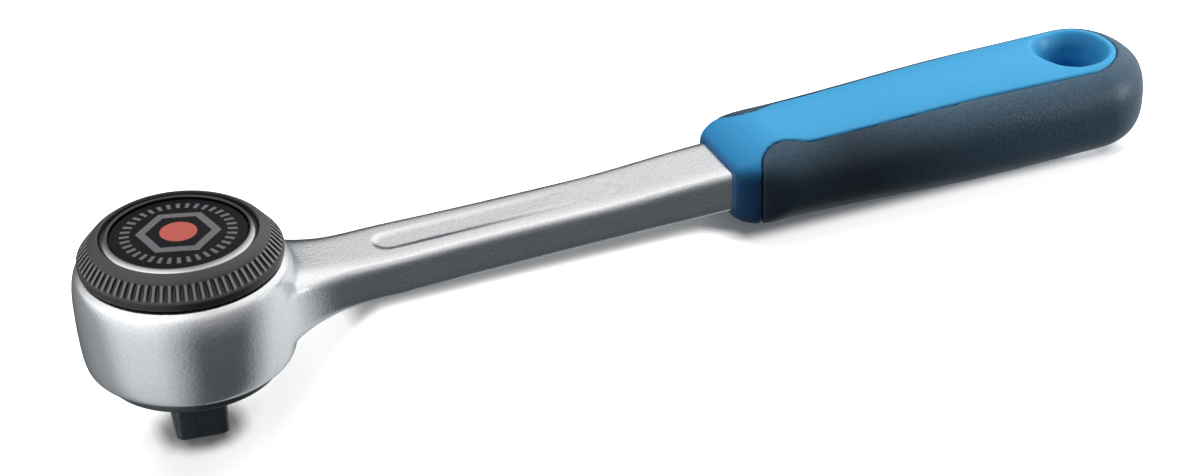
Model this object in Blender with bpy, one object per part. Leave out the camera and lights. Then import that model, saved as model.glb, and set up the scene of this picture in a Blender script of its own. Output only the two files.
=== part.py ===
"""Reversible ratchet with a quarter-inch square drive and a two-colour handle.

The origin is on the drive axis, at the end face of the square. +X runs along the handle and +Z up
through the selector knob. The square, its flange and the pawl carrier are one turned and milled
piece that spins inside a ring of teeth cut in the forged head. Two rocker pawls sit in the carrier,
and the knob's core pushes them to one side or the other with a sprung plunger for each.
"""

import math

import bmesh
import bpy
from mathutils import Matrix

for old_object in list(bpy.data.objects):
    bpy.data.objects.remove(old_object, do_unlink=True)

MM = 0.001

# Clearance between pieces that touch or run on each other
CLEARANCE = 0.25 * MM

# Square drive and its flange
SQUARE_SIZE = 6.35 * MM
SQUARE_LENGTH = 9.0 * MM
SQUARE_CORNER = 0.7 * MM
SQUARE_LEAD_IN = 0.6 * MM
FLANGE_RADIUS = 10.6 * MM
FLANGE_THICKNESS = 1.4 * MM
FLANGE_CHAMFER = 0.4 * MM

# Sprung ball in the rear side of the square
BALL_RADIUS = 1.2 * MM
BALL_PROUD = 0.6 * MM
BALL_HEIGHT = 4.0 * MM
BALL_HOLE_DEPTH = 4.7 * MM
BALL_HOLE_MOUTH = 1.12 * MM

# Forged head, seen as a turned shape: bottom edge, belly and rim
HEAD_HEIGHT = 12.75 * MM
HEAD_BOTTOM_RADIUS = 12.15 * MM
HEAD_BELLY_RADIUS = 12.95 * MM
HEAD_BELLY_HEIGHT = 8.8 * MM
HEAD_RIM_RADIUS = 12.15 * MM
HEAD_EDGE = 0.35 * MM

# Ring of teeth inside the head
RING_TEETH = 24
TOOTH_TIP_RADIUS = 9.4 * MM
TOOTH_DEPTH = 1.0 * MM
TOOTH_LAND = 0.3 * MM
TOP_BORE_RADIUS = 10.6 * MM

# Pawl carrier above the flange
CARRIER_FLOOR = 1.9 * MM
HUB_RADIUS = 4.9 * MM
HUB_LIP = 0.6 * MM
CORE_RADIUS = 3.4 * MM

# Rocker pawls
PAWL_HEIGHT = 6.6 * MM
PAWL_PIVOT_RADIUS = 7.2 * MM
PAWL_PIN_RADIUS = 0.8 * MM
PAWL_PIN_SEAT = 1.3 * MM
PAWL_PIN_REACH = 1.3 * MM
PAWL_BACK_RADIUS = 8.9 * MM
PAWL_ARM_RADIUS = 6.4 * MM
PAWL_SPAN = 56.0
PAWL_TOOTH_START = 30.0
PAWL_ROCK = 6.5
PAWL_CUTS = 7
POCKET_MARGIN = 8.0

# Cover plate and the clip that holds it
PLATE_THICKNESS = 0.8 * MM
CLIP_THICKNESS = 0.6 * MM
CLIP_GROOVE_DEPTH = 0.5 * MM
CLIP_WIDTH = 1.4 * MM
CLIP_OPENING = 70.0

# Selector core, plungers, screw
SELECTOR_SWING = 20.0
PLUNGER_RADIUS = 1.0 * MM
PLUNGER_NOSE_CENTRE = 4.4 * MM
PLUNGER_LENGTH = 2.3 * MM
SPRING_WIRE_RADIUS = 0.15 * MM
PLUNGER_SPRING_TURNS = 4
BALL_SPRING_TURNS = 3
KEY_ACROSS_FLATS = 4.4 * MM
KEY_HEIGHT = 1.65 * MM
SCREW_RADIUS = 0.9 * MM
SCREW_HEAD_RADIUS = 1.9 * MM
SCREW_HEAD_HEIGHT = 1.0 * MM
SCREW_SOCKET = 1.5 * MM
SCREW_DEPTH = 3.0 * MM
WASHER_RADIUS = 2.7 * MM
WASHER_THICKNESS = 0.25 * MM

# Selector knob with its trim ring and disc
KNOB_RADIUS = 11.95 * MM
KNOB_BAND = 1.2 * MM
KNOB_KNURL_TOP = 10.3 * MM
KNOB_KNURL_HEIGHT = 1.75 * MM
KNOB_CROWN = 0.6 * MM
KNURL_RIBS = 76
KNURL_DEPTH = 0.35 * MM
KNURL_RUN_OUT = 0.25 * MM
KNOB_RECESS_RADIUS = 9.25 * MM
KNOB_RECESS_DEPTH = 1.25 * MM
TRIM_WALL = 0.85 * MM
TRIM_PROUD = 0.05 * MM
DISC_DOME = 0.3 * MM
DISC_SUNK = 0.35 * MM

# Shank, which grows deeper and leans down from the collar to the neck
SHANK_AXIS_HEIGHT = 17.55 * MM
SHANK_HALF_HEIGHT = 2.5 * MM
SHANK_NECK_AXIS_HEIGHT = 16.95 * MM
SHANK_NECK_HALF_HEIGHT = 2.65 * MM
SHANK_HALF_NECK = 4.7 * MM
SHANK_HALF_WAIST = 4.3 * MM
SHANK_HALF_END = 4.7 * MM
SHANK_WAIST_X = 44.0 * MM
NECK_FILLET = 30.0 * MM
NECK_TOP = 22.8 * MM
NECK_BOTTOM = 10.8 * MM
NECK_TOP_CURVE = 4.0
NECK_BOTTOM_CURVE = 2.5
SHANK_SQUARENESS = 7.0
NECK_SQUARENESS = 4.5
PANEL_START_X = 23.5 * MM
PANEL_END_X = 57.5 * MM
PANEL_HALF_WIDTH = 3.2 * MM
PANEL_DEPTH = 0.35 * MM
PANEL_END_DEPTH = 0.05 * MM
TANG_LENGTH = 34.0 * MM
TANG_HALF_WIDTH = 3.2 * MM
TANG_HALF_HEIGHT = 1.9 * MM
TANG_ENTRY = 2.6 * MM

# Handle
HANDLE_FRONT_X = 68.4 * MM
HANDLE_END_X = 128.7 * MM
HANDLE_FRONT_AXIS_HEIGHT = 18.15 * MM
HANDLE_REAR_AXIS_HEIGHT = 18.7 * MM
HANDLE_BELLY_X = 106.5 * MM
HANDLE_FRONT_HALF_WIDTH = 8.8 * MM
HANDLE_REAR_HALF_WIDTH = 9.5 * MM
HANDLE_FRONT_HALF_HEIGHT = 5.75 * MM
HANDLE_REAR_HALF_HEIGHT = 6.75 * MM
HANDLE_SQUARENESS = 2.55
COLLAR_WALL = 0.4 * MM
SHOULDER_LENGTH = 6.5 * MM
SHOULDER_ROUNDNESS = 1.5
HANDLE_ROUND_END = 8.6 * MM
HANDLE_END_BLUNTNESS = 0.6
HANDLE_END_TURN = 80.0
GRIP_FRONT_X = 71.0 * MM
GRIP_WALL = 1.9 * MM
GRIP_CORNER = 4.2 * MM
GRIP_HORN = 1.2 * MM
GRIP_HORN_LENGTH = 3.8 * MM
STRIP_FRONT_HALF_WIDTH = 5.35 * MM
STRIP_REAR_HALF_WIDTH = 6.2 * MM
STRIP_END_X = 125.0 * MM
HANG_HOLE_X = 119.2 * MM
HANG_HOLE_LENGTH = 8.8 * MM
HANG_HOLE_WIDTH = 8.0 * MM
HANG_HOLE_FLARE = 0.6 * MM
HANG_HOLE_LEAD = 0.3

# Facets
HEAD_FACETS = 48
SHANK_FACETS = 24
CARRIER_FACETS = 36
KNOB_FACETS = 40
SMALL_FACETS = 16
HANDLE_FACETS = 28
COIL_POINTS = 8
WIRE_FACETS = 5
MERGE_DISTANCE = 0.001 * MM
SHARP_ANGLE = 32.0

# Levels up the drive axis
FLANGE_TOP = SQUARE_LENGTH + FLANGE_THICKNESS
HEAD_LOW = FLANGE_TOP + CLEARANCE
HEAD_HIGH = HEAD_LOW + HEAD_HEIGHT
POCKET_FLOOR = FLANGE_TOP + CARRIER_FLOOR
PAWL_LOW = POCKET_FLOOR + CLEARANCE
PAWL_HIGH = PAWL_LOW + PAWL_HEIGHT
CARRIER_TOP = PAWL_HIGH + CLEARANCE
PLATE_LOW = CARRIER_TOP + CLEARANCE
CLIP_LOW = PLATE_LOW + PLATE_THICKNESS + CLEARANCE
HUB_TOP = CLIP_LOW + CLIP_THICKNESS + CLEARANCE + HUB_LIP
WEB_LOW = HUB_TOP + CLEARANCE
LEDGE = WEB_LOW + KEY_HEIGHT
KNOB_LOW = HEAD_HIGH + CLEARANCE
BAND_TOP = KNOB_LOW + KNOB_BAND
KNURL_TOP = BAND_TOP + KNOB_KNURL_HEIGHT
KNOB_TOP = KNURL_TOP + KNOB_CROWN
RECESS_FLOOR = KNOB_TOP - KNOB_RECESS_DEPTH
PLUNGER_HEIGHT = (PAWL_LOW + PAWL_HIGH) / 2

# Radii and turns that follow from the sizes above
TOOTH_ROOT_RADIUS = TOOTH_TIP_RADIUS + TOOTH_DEPTH
CARRIER_RADIUS = TOOTH_TIP_RADIUS - 2 * CLEARANCE
CORE_BORE_RADIUS = CORE_RADIUS + CLEARANCE
PIN_HOLE_RADIUS = PAWL_PIN_RADIUS + CLEARANCE
SPIGOT_RADIUS = TOP_BORE_RADIUS - CLEARANCE
PAWL_FLAT = PLUNGER_NOSE_CENTRE + PLUNGER_RADIUS + CLEARANCE
TOOTH_PITCH = 360.0 / RING_TEETH
DRIVE_TURN = -TOOTH_PITCH / 2
TRIM_RADIUS = KNOB_RECESS_RADIUS - CLEARANCE
DISC_RADIUS = TRIM_RADIUS - TRIM_WALL - CLEARANCE


def finish(name, colour, roughness, metallic):
    """A plain material for one sub-part."""
    material = bpy.data.materials.new(name)
    material.use_nodes = True
    shader = material.node_tree.nodes["Principled BSDF"]
    shader.inputs["Base Color"].default_value = (*colour, 1.0)
    shader.inputs["Roughness"].default_value = roughness
    shader.inputs["Metallic"].default_value = metallic
    return material


def axis_empty(name, parent=None, location=(0.0, 0.0, 0.0), turn=0.0):
    """An empty on a joint's axis, turned about +Z by so many degrees."""
    empty = bpy.data.objects.new(name, None)
    empty.location = location
    empty.rotation_euler = (0.0, 0.0, math.radians(turn))
    empty.parent = parent
    bpy.context.collection.objects.link(empty)
    return empty


def solid(name, shape):
    """An object made from a bmesh, in its own frame."""
    bmesh.ops.remove_doubles(shape, verts=shape.verts, dist=MERGE_DISTANCE)
    bmesh.ops.recalc_face_normals(shape, faces=shape.faces)
    mesh = bpy.data.meshes.new(name)
    shape.to_mesh(mesh)
    shape.free()
    body = bpy.data.objects.new(name, mesh)
    bpy.context.collection.objects.link(body)
    return body


def combine(body, tool_shape, operation="DIFFERENCE"):
    """Cut, join or intersect a solid with a second shape, and keep the result as its mesh."""
    tool = solid("tool", tool_shape)
    modifier = body.modifiers.new("combine", "BOOLEAN")
    modifier.operation = operation
    modifier.object = tool
    bpy.context.view_layer.update()
    graph = bpy.context.evaluated_depsgraph_get()
    result = bmesh.new()
    result.from_object(body, graph)
    bmesh.ops.remove_doubles(result, verts=result.verts, dist=MERGE_DISTANCE)
    bmesh.ops.dissolve_degenerate(result, edges=result.edges, dist=MERGE_DISTANCE)
    result.to_mesh(body.data)
    result.free()
    body.modifiers.clear()
    bpy.data.objects.remove(tool, do_unlink=True)


def place(body, material, parent=None, location=(0.0, 0.0, 0.0), turn=0.0):
    """Give a finished piece its material, its smooth shading and its place."""
    body.data.materials.clear()
    body.data.materials.append(material)
    body.data.shade_smooth()
    body.data.set_sharp_from_angle(angle=math.radians(SHARP_ANGLE))
    body.parent = parent
    body.location = location
    body.rotation_euler = (0.0, 0.0, math.radians(turn))
    return body


def arc(radius, start, end, steps, centre=(0.0, 0.0)):
    """Points along an arc from one angle to another, in degrees."""
    points = []
    for step in range(steps + 1):
        angle = math.radians(start + (end - start) * step / steps)
        points.append((centre[0] + radius * math.cos(angle), centre[1] + radius * math.sin(angle)))
    return points


def circle(radius, facets, centre=(0.0, 0.0)):
    """Points of a closed circle."""
    return arc(radius, 0.0, 360.0, facets, centre)[:-1]


def prism(outline, low, high):
    """An upright prism over a flat outline."""
    shape = bmesh.new()
    face = shape.faces.new([shape.verts.new((x, y, low)) for x, y in outline])
    grown = bmesh.ops.extrude_face_region(shape, geom=[face])
    raised = [part for part in grown["geom"] if isinstance(part, bmesh.types.BMVert)]
    bmesh.ops.translate(shape, verts=raised, vec=(0.0, 0.0, high - low))
    return shape


def lathe(profile, facets):
    """A solid turned about +Z from a closed profile of radius and height."""
    shape = bmesh.new()
    points = [shape.verts.new((radius, 0.0, height)) for radius, height in profile]
    edges = []
    for first, second in zip(points, points[1:] + points[:1]):
        if first.co.x > 0.0 or second.co.x > 0.0:
            edges.append(shape.edges.new((first, second)))
    bmesh.ops.spin(shape, geom=points + edges, cent=(0.0, 0.0, 0.0), axis=(0.0, 0.0, 1.0),
                   angle=2 * math.pi, steps=facets, use_merge=True)
    return shape


def rod(radius, low, high, facets=SMALL_FACETS, bevel=0.0):
    """A round rod about +Z, with its end edges broken by a small bevel."""
    if bevel > 0.0:
        side = [(radius - bevel, low), (radius, low + bevel), (radius, high - bevel), (radius - bevel, high)]
    else:
        side = [(radius, low), (radius, high)]
    return lathe([(0.0, low)] + side + [(0.0, high)], facets)


def loft(rings):
    """A closed solid through rings of points, capped at both ends."""
    shape = bmesh.new()
    rows = [[shape.verts.new(point) for point in ring] for ring in rings]
    count = len(rows[0])
    for row, following in zip(rows, rows[1:]):
        for index in range(count):
            after = (index + 1) % count
            shape.faces.new((row[index], row[after], following[after], following[index]))
    shape.faces.new(rows[0])
    shape.faces.new(rows[-1])
    return shape


def turned(shape, degrees, axis="Z"):
    """The same shape, turned about an axis through the origin."""
    bmesh.ops.rotate(shape, verts=shape.verts, matrix=Matrix.Rotation(math.radians(degrees), 3, axis))
    return shape


def moved(shape, offset):
    """The same shape, moved."""
    bmesh.ops.translate(shape, verts=shape.verts, vec=offset)
    return shape


def blended(first, second, share):
    """The value that lies a share of the way from the first to the second."""
    return first + (second - first) * share


def eased(share):
    """A share between 0 and 1 that starts and stops gently."""
    share = min(max(share, 0.0), 1.0)
    return share * share * (3 - 2 * share)


def superellipse(half_width, half_height, squareness, facets):
    """Points of a rounded section, from an ellipse at 2 towards a rectangle as squareness grows."""
    points = []
    for step in range(facets):
        angle = 2 * math.pi * (step + 0.5) / facets
        across = math.copysign(abs(math.cos(angle)) ** (2 / squareness), math.cos(angle))
        upward = math.copysign(abs(math.sin(angle)) ** (2 / squareness), math.sin(angle))
        points.append((half_width * across, half_height * upward))
    return points


def toothed_bore(gap):
    """Outline of the bore inside the ring of teeth, drawn in by a gap."""
    tip = TOOTH_TIP_RADIUS - gap
    root = TOOTH_ROOT_RADIUS - gap
    land = math.degrees((TOOTH_LAND / 2 + gap) / TOOTH_TIP_RADIUS)
    valley = math.degrees((TOOTH_LAND / 2) / TOOTH_ROOT_RADIUS)
    outline = []
    for tooth in range(RING_TEETH):
        middle = tooth * TOOTH_PITCH
        outline += arc(root, middle - valley, middle + valley, 1)
        outline += arc(tip, middle + TOOTH_PITCH / 2 - land, middle + TOOTH_PITCH / 2 + land, 1)
    return outline


def coil(name, radius, start, end, turns):
    """A compression spring along +X: a small round section swept along a helix."""
    count = turns * COIL_POINTS
    first = start + SPRING_WIRE_RADIUS
    run = end - start - 2 * SPRING_WIRE_RADIUS
    rings = []
    for index in range(count + 1):
        angle = 2 * math.pi * index / COIL_POINTS
        ring = []
        for out, along in circle(SPRING_WIRE_RADIUS, WIRE_FACETS):
            reach = radius + out
            ring.append((first + run * index / count + along, reach * math.cos(angle), reach * math.sin(angle)))
        rings.append(ring)
    return solid(name, loft(rings))


def neck_end():
    """Where the fillet from the head's belly runs out in the side of the shank."""
    reach = HEAD_BELLY_RADIUS + NECK_FILLET
    return math.sqrt(reach ** 2 - (SHANK_HALF_NECK + NECK_FILLET) ** 2)


def neck_touch():
    """Where the same fillet leaves the head's belly."""
    return neck_end() * HEAD_BELLY_RADIUS / (HEAD_BELLY_RADIUS + NECK_FILLET)


def shank_half_width(x):
    """Half the shank's width: a slim waist that opens towards the neck and the collar."""
    end, half_end = (neck_end(), SHANK_HALF_NECK) if x < SHANK_WAIST_X else (HANDLE_FRONT_X, SHANK_HALF_END)
    return blended(SHANK_HALF_WAIST, half_end, ((x - SHANK_WAIST_X) / (end - SHANK_WAIST_X)) ** 2)


def shank_levels(x):
    """Top and bottom of the shank, between its levels at the neck and at the collar."""
    share = min(max((x - neck_end()) / (HANDLE_FRONT_X - neck_end()), 0.0), 1.0)
    axis = blended(SHANK_NECK_AXIS_HEIGHT, SHANK_AXIS_HEIGHT, share)
    half_height = blended(SHANK_NECK_HALF_HEIGHT, SHANK_HALF_HEIGHT, share)
    return axis + half_height, axis - half_height


def shank_ring(x, gap=0.0):
    """One section of the neck and shank, grown by a gap all round."""
    run_out = neck_end()
    half_width = shank_half_width(x)
    blend = 0.0
    if x < run_out:
        half_width = SHANK_HALF_NECK + NECK_FILLET - math.sqrt(NECK_FILLET ** 2 - (run_out - x) ** 2)
        blend = (run_out - x) / (run_out - neck_touch())
    top, bottom = shank_levels(x)
    top = blended(top, NECK_TOP, blend ** NECK_TOP_CURVE)
    bottom = blended(bottom, NECK_BOTTOM, blend ** NECK_BOTTOM_CURVE)
    squareness = blended(SHANK_SQUARENESS, NECK_SQUARENESS, blend)
    section = superellipse(half_width + gap, (top - bottom) / 2 + gap, squareness, SHANK_FACETS)
    return [(x, y, (top + bottom) / 2 + z) for y, z in section]


def ratchet_body(material):
    """The forging: head with its ring of teeth, neck, shank and the tang inside the handle."""
    rise = HEAD_HEIGHT - HEAD_BELLY_HEIGHT
    belly = HEAD_LOW + HEAD_BELLY_HEIGHT
    steps = 6
    profile = [(0.0, HEAD_LOW), (HEAD_BOTTOM_RADIUS - HEAD_EDGE, HEAD_LOW)]
    for step in range(1, steps + 1):
        angle = math.pi / 2 * (1 - step / steps)
        radius = HEAD_BOTTOM_RADIUS + (HEAD_BELLY_RADIUS - HEAD_BOTTOM_RADIUS) * math.cos(angle)
        profile.append((radius, belly - (HEAD_BELLY_HEIGHT - HEAD_EDGE) * math.sin(angle)))
    for step in range(1, steps // 2 + 1):
        angle = math.pi / 2 * step / (steps // 2)
        radius = HEAD_RIM_RADIUS + (HEAD_BELLY_RADIUS - HEAD_RIM_RADIUS) * math.cos(angle)
        profile.append((radius, belly + (rise - HEAD_EDGE) * math.sin(angle)))
    profile += [(HEAD_RIM_RADIUS - HEAD_EDGE, HEAD_HIGH), (0.0, HEAD_HIGH)]
    body = solid("ratchet_body", lathe(profile, HEAD_FACETS))

    run_out = neck_end()
    touch = neck_touch()
    shank_end = HANDLE_FRONT_X + TANG_ENTRY
    neck_steps = 8
    shank_steps = 7
    stations = [touch + (run_out - touch) * step / neck_steps for step in range(neck_steps)]
    stations += [run_out + (shank_end - run_out) * step / shank_steps for step in range(shank_steps + 1)]
    combine(body, loft([shank_ring(x) for x in stations]), "UNION")

    tang_end = shank_end + TANG_LENGTH
    combine(body, tang(shank_end - TANG_ENTRY, tang_end, 0.0), "UNION")

    combine(body, panel_recess())

    past = CLEARANCE
    combine(body, rod(CARRIER_RADIUS + CLEARANCE, HEAD_LOW - past, POCKET_FLOOR + past, HEAD_FACETS))
    combine(body, prism(toothed_bore(0.0), POCKET_FLOOR, CARRIER_TOP + past))
    combine(body, rod(TOP_BORE_RADIUS, CARRIER_TOP, HEAD_HIGH + past, HEAD_FACETS))
    return place(body, material)


def panel_recess():
    """The shallow recess in the shank's top, which runs out towards the handle."""
    left = (PANEL_START_X + PANEL_HALF_WIDTH, 0.0)
    right = (PANEL_END_X - PANEL_HALF_WIDTH, 0.0)
    outline = arc(PANEL_HALF_WIDTH, 90.0, 270.0, 8, left) + arc(PANEL_HALF_WIDTH, -90.0, 90.0, 8, right)
    floor = []
    lid = []
    for x, y in outline:
        top = shank_levels(x)[0]
        along = (x - PANEL_START_X) / (PANEL_END_X - PANEL_START_X)
        floor.append((x, y, top - blended(PANEL_DEPTH, PANEL_END_DEPTH, along)))
        lid.append((x, y, top + PANEL_DEPTH))
    return loft([floor, lid])


def tang(start, end, gap):
    """The flat tang behind the shank, grown by a gap all round."""
    section = superellipse(TANG_HALF_WIDTH + gap, TANG_HALF_HEIGHT + gap, SHANK_SQUARENESS, SMALL_FACETS)
    ring = [(y, SHANK_AXIS_HEIGHT + z) for y, z in section]
    return loft([[(x, y, z) for y, z in ring] for x in (start, end)])


def drive_body(material, drive):
    """Square, flange, pawl carrier and hub, turned and milled from one bar."""
    groove_low = CLIP_LOW - CLEARANCE / 2
    groove_high = CLIP_LOW + CLIP_THICKNESS + CLEARANCE / 2
    groove = HUB_RADIUS - CLIP_GROOVE_DEPTH
    profile = [
        (0.0, SQUARE_LENGTH),
        (FLANGE_RADIUS - FLANGE_CHAMFER, SQUARE_LENGTH),
        (FLANGE_RADIUS, SQUARE_LENGTH + FLANGE_CHAMFER),
        (FLANGE_RADIUS, FLANGE_TOP),
        (CARRIER_RADIUS, FLANGE_TOP),
        (CARRIER_RADIUS, CARRIER_TOP),
        (HUB_RADIUS, CARRIER_TOP),
        (HUB_RADIUS, groove_low),
        (groove, groove_low),
        (groove, groove_high),
        (HUB_RADIUS, groove_high),
        (HUB_RADIUS, HUB_TOP),
        (CORE_BORE_RADIUS, HUB_TOP),
        (CORE_BORE_RADIUS, POCKET_FLOOR),
        (0.0, POCKET_FLOOR),
    ]
    body = solid("drive_body", lathe(profile, CARRIER_FACETS))

    half = SQUARE_SIZE / 2
    rings = []
    for inset, height in ((SQUARE_LEAD_IN, 0.0), (0.0, SQUARE_LEAD_IN), (0.0, SQUARE_LENGTH + FLANGE_CHAMFER)):
        reach = half - SQUARE_CORNER
        ring = []
        for turn in range(4):
            angle = 90.0 * turn
            spot = arc(reach * math.sqrt(2), angle + 45.0, angle + 45.0, 1)[0]
            ring += arc(SQUARE_CORNER, angle, angle + 90.0, 3, spot)
        shrink = (half - inset) / half
        rings.append([(x * shrink, y * shrink, height) for x, y in ring])
    combine(body, loft(rings), "UNION")

    pocket_half = PAWL_SPAN + POCKET_MARGIN
    past = CARRIER_RADIUS + CLEARANCE
    window_half = HUB_RADIUS * math.sin(math.radians(SELECTOR_SWING)) + PLUNGER_RADIUS + CLEARANCE
    window = ((-past, -window_half), (past, -window_half), (past, window_half), (-past, window_half))
    for turn in (0.0, 180.0):
        pocket = arc(past, turn - pocket_half, turn + pocket_half, 12)
        pocket += arc(HUB_RADIUS, turn + pocket_half, turn - pocket_half, 12)
        combine(body, prism(pocket, POCKET_FLOOR, CARRIER_TOP + CLEARANCE))
        pivot = arc(PAWL_PIVOT_RADIUS, turn, turn, 1)[0]
        hole = circle(PIN_HOLE_RADIUS, SMALL_FACETS, pivot)
        combine(body, prism(hole, POCKET_FLOOR - PAWL_PIN_SEAT - CLEARANCE, POCKET_FLOOR + CLEARANCE))
    window_reach = PLUNGER_RADIUS + CLEARANCE
    combine(body, prism(window, PLUNGER_HEIGHT - window_reach, PLUNGER_HEIGHT + window_reach))
    combine(body, ball_hole())
    return place(body, material, drive)


def ball_hole():
    """The blind hole for the socket ball, with a staked mouth, in the +Y side of the square."""
    face = SQUARE_SIZE / 2
    centre = face - BALL_RADIUS + BALL_PROUD
    wide = BALL_RADIUS + CLEARANCE
    profile = [
        (0.0, face - BALL_HOLE_DEPTH),
        (wide, face - BALL_HOLE_DEPTH),
        (wide, centre + CLEARANCE),
        (BALL_HOLE_MOUTH, face),
        (BALL_HOLE_MOUTH, face + CLEARANCE),
        (0.0, face + CLEARANCE),
    ]
    return moved(turned(lathe(profile, SMALL_FACETS), -90.0, "X"), (0.0, 0.0, BALL_HEIGHT))


def pawl(name, material, drive, turn):
    """A rocker pawl: a blank with two toothed ends, generated by the ring of teeth as it rocks."""
    flat_angle = math.degrees(math.acos(min(1.0, PAWL_FLAT / PAWL_ARM_RADIUS)))
    outline = arc(TOOTH_ROOT_RADIUS, -PAWL_SPAN, -PAWL_TOOTH_START, 8)
    outline += arc(PAWL_BACK_RADIUS, -PAWL_TOOTH_START, PAWL_TOOTH_START, 10)
    outline += arc(TOOTH_ROOT_RADIUS, PAWL_TOOTH_START, PAWL_SPAN, 8)
    outline += arc(PAWL_ARM_RADIUS, PAWL_SPAN, flat_angle, 5)
    outline += arc(PAWL_ARM_RADIUS, -flat_angle, -PAWL_SPAN, 5)
    blank = moved(prism(outline, PAWL_LOW, PAWL_HIGH), (-PAWL_PIVOT_RADIUS, 0.0, 0.0))
    body = solid(name, blank)
    for cut in range(PAWL_CUTS):
        rock = PAWL_ROCK * (2 * cut / (PAWL_CUTS - 1) - 1)
        bore = turned(prism(toothed_bore(CLEARANCE), HEAD_LOW, HEAD_HIGH), -DRIVE_TURN - turn)
        combine(body, turned(moved(bore, (-PAWL_PIVOT_RADIUS, 0.0, 0.0)), -rock), "INTERSECT")
    combine(body, rod(PIN_HOLE_RADIUS, HEAD_LOW, HEAD_HIGH))
    pivot = arc(PAWL_PIVOT_RADIUS, turn, turn, 1)[0]
    return place(body, material, drive, (*pivot, 0.0), turn - PAWL_ROCK)


def pawl_pin(name, material, drive, turn):
    """The pin a pawl rocks on. Its upper end runs in a slot of the knob and stops the selector."""
    pivot = arc(PAWL_PIVOT_RADIUS, turn, turn, 1)[0]
    low = POCKET_FLOOR - PAWL_PIN_SEAT
    body = solid(name, rod(PAWL_PIN_RADIUS, low, WEB_LOW + PAWL_PIN_REACH, SMALL_FACETS, CLEARANCE / 2))
    return place(body, material, drive, (*pivot, 0.0))


def flat_ring(inner, outer, low, thickness, facets):
    """A plain flat ring about +Z."""
    high = low + thickness
    return lathe([(inner, low), (outer, low), (outer, high), (inner, high)], facets)


def cover_plate(material, drive):
    """The plate over the pawls and the ring of teeth."""
    ring = flat_ring(HUB_RADIUS + CLEARANCE, SPIGOT_RADIUS, PLATE_LOW, PLATE_THICKNESS, CARRIER_FACETS)
    body = solid("cover_plate", ring)
    for turn in (0.0, 180.0):
        pivot = arc(PAWL_PIVOT_RADIUS, turn, turn, 1)[0]
        hole = circle(PIN_HOLE_RADIUS, SMALL_FACETS, pivot)
        combine(body, prism(hole, PLATE_LOW - CLEARANCE, CLIP_LOW))
    return place(body, material, drive)


def retaining_clip(material, drive):
    """The open spring clip in the hub's groove."""
    inner = HUB_RADIUS - CLIP_GROOVE_DEPTH + CLEARANCE
    start = 90.0 + CLIP_OPENING / 2
    end = start + 360.0 - CLIP_OPENING
    outline = arc(inner + CLIP_WIDTH, start, end, 24) + arc(inner, end, start, 24)
    body = solid("retaining_clip", prism(outline, CLIP_LOW, CLIP_LOW + CLIP_THICKNESS))
    return place(body, material, drive)


def selector_core(material, selector):
    """The steel core that carries the plungers and is keyed to the knob."""
    low = POCKET_FLOOR + CLEARANCE
    top = WEB_LOW - CLEARANCE
    key_top = LEDGE
    body = solid("selector_core", rod(CORE_RADIUS, low, top, SMALL_FACETS * 2))
    key = circle(KEY_ACROSS_FLATS / math.sqrt(3), 6)
    combine(body, prism(key, top - CLEARANCE, key_top), "UNION")
    tunnel = turned(rod(PLUNGER_RADIUS + CLEARANCE, -HUB_RADIUS, HUB_RADIUS), 90.0, "Y")
    combine(body, moved(tunnel, (0.0, 0.0, PLUNGER_HEIGHT)))
    combine(body, rod(SCREW_RADIUS + CLEARANCE, top - SCREW_DEPTH - CLEARANCE, key_top + CLEARANCE))
    return place(body, material, selector)


def plunger(name, material, selector, turn):
    """A round-nosed plunger that slides in the core and leans on a pawl."""
    back = PLUNGER_NOSE_CENTRE - PLUNGER_LENGTH
    nose = [(r, PLUNGER_NOSE_CENTRE + z) for r, z in arc(PLUNGER_RADIUS, 0.0, 90.0, 5)]
    nose[-1] = (0.0, nose[-1][1])
    shape = turned(lathe([(0.0, back), (PLUNGER_RADIUS, back)] + nose, 16), 90.0, "Y")
    return place(solid(name, shape), material, selector, (0.0, 0.0, PLUNGER_HEIGHT), turn)


def plunger_spring(material, selector):
    """The spring between the two plungers."""
    half = PLUNGER_NOSE_CENTRE - PLUNGER_LENGTH - CLEARANCE
    body = coil("plunger_spring", PLUNGER_RADIUS - SPRING_WIRE_RADIUS, -half, half, PLUNGER_SPRING_TURNS)
    return place(body, material, selector, (0.0, 0.0, PLUNGER_HEIGHT))


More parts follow.
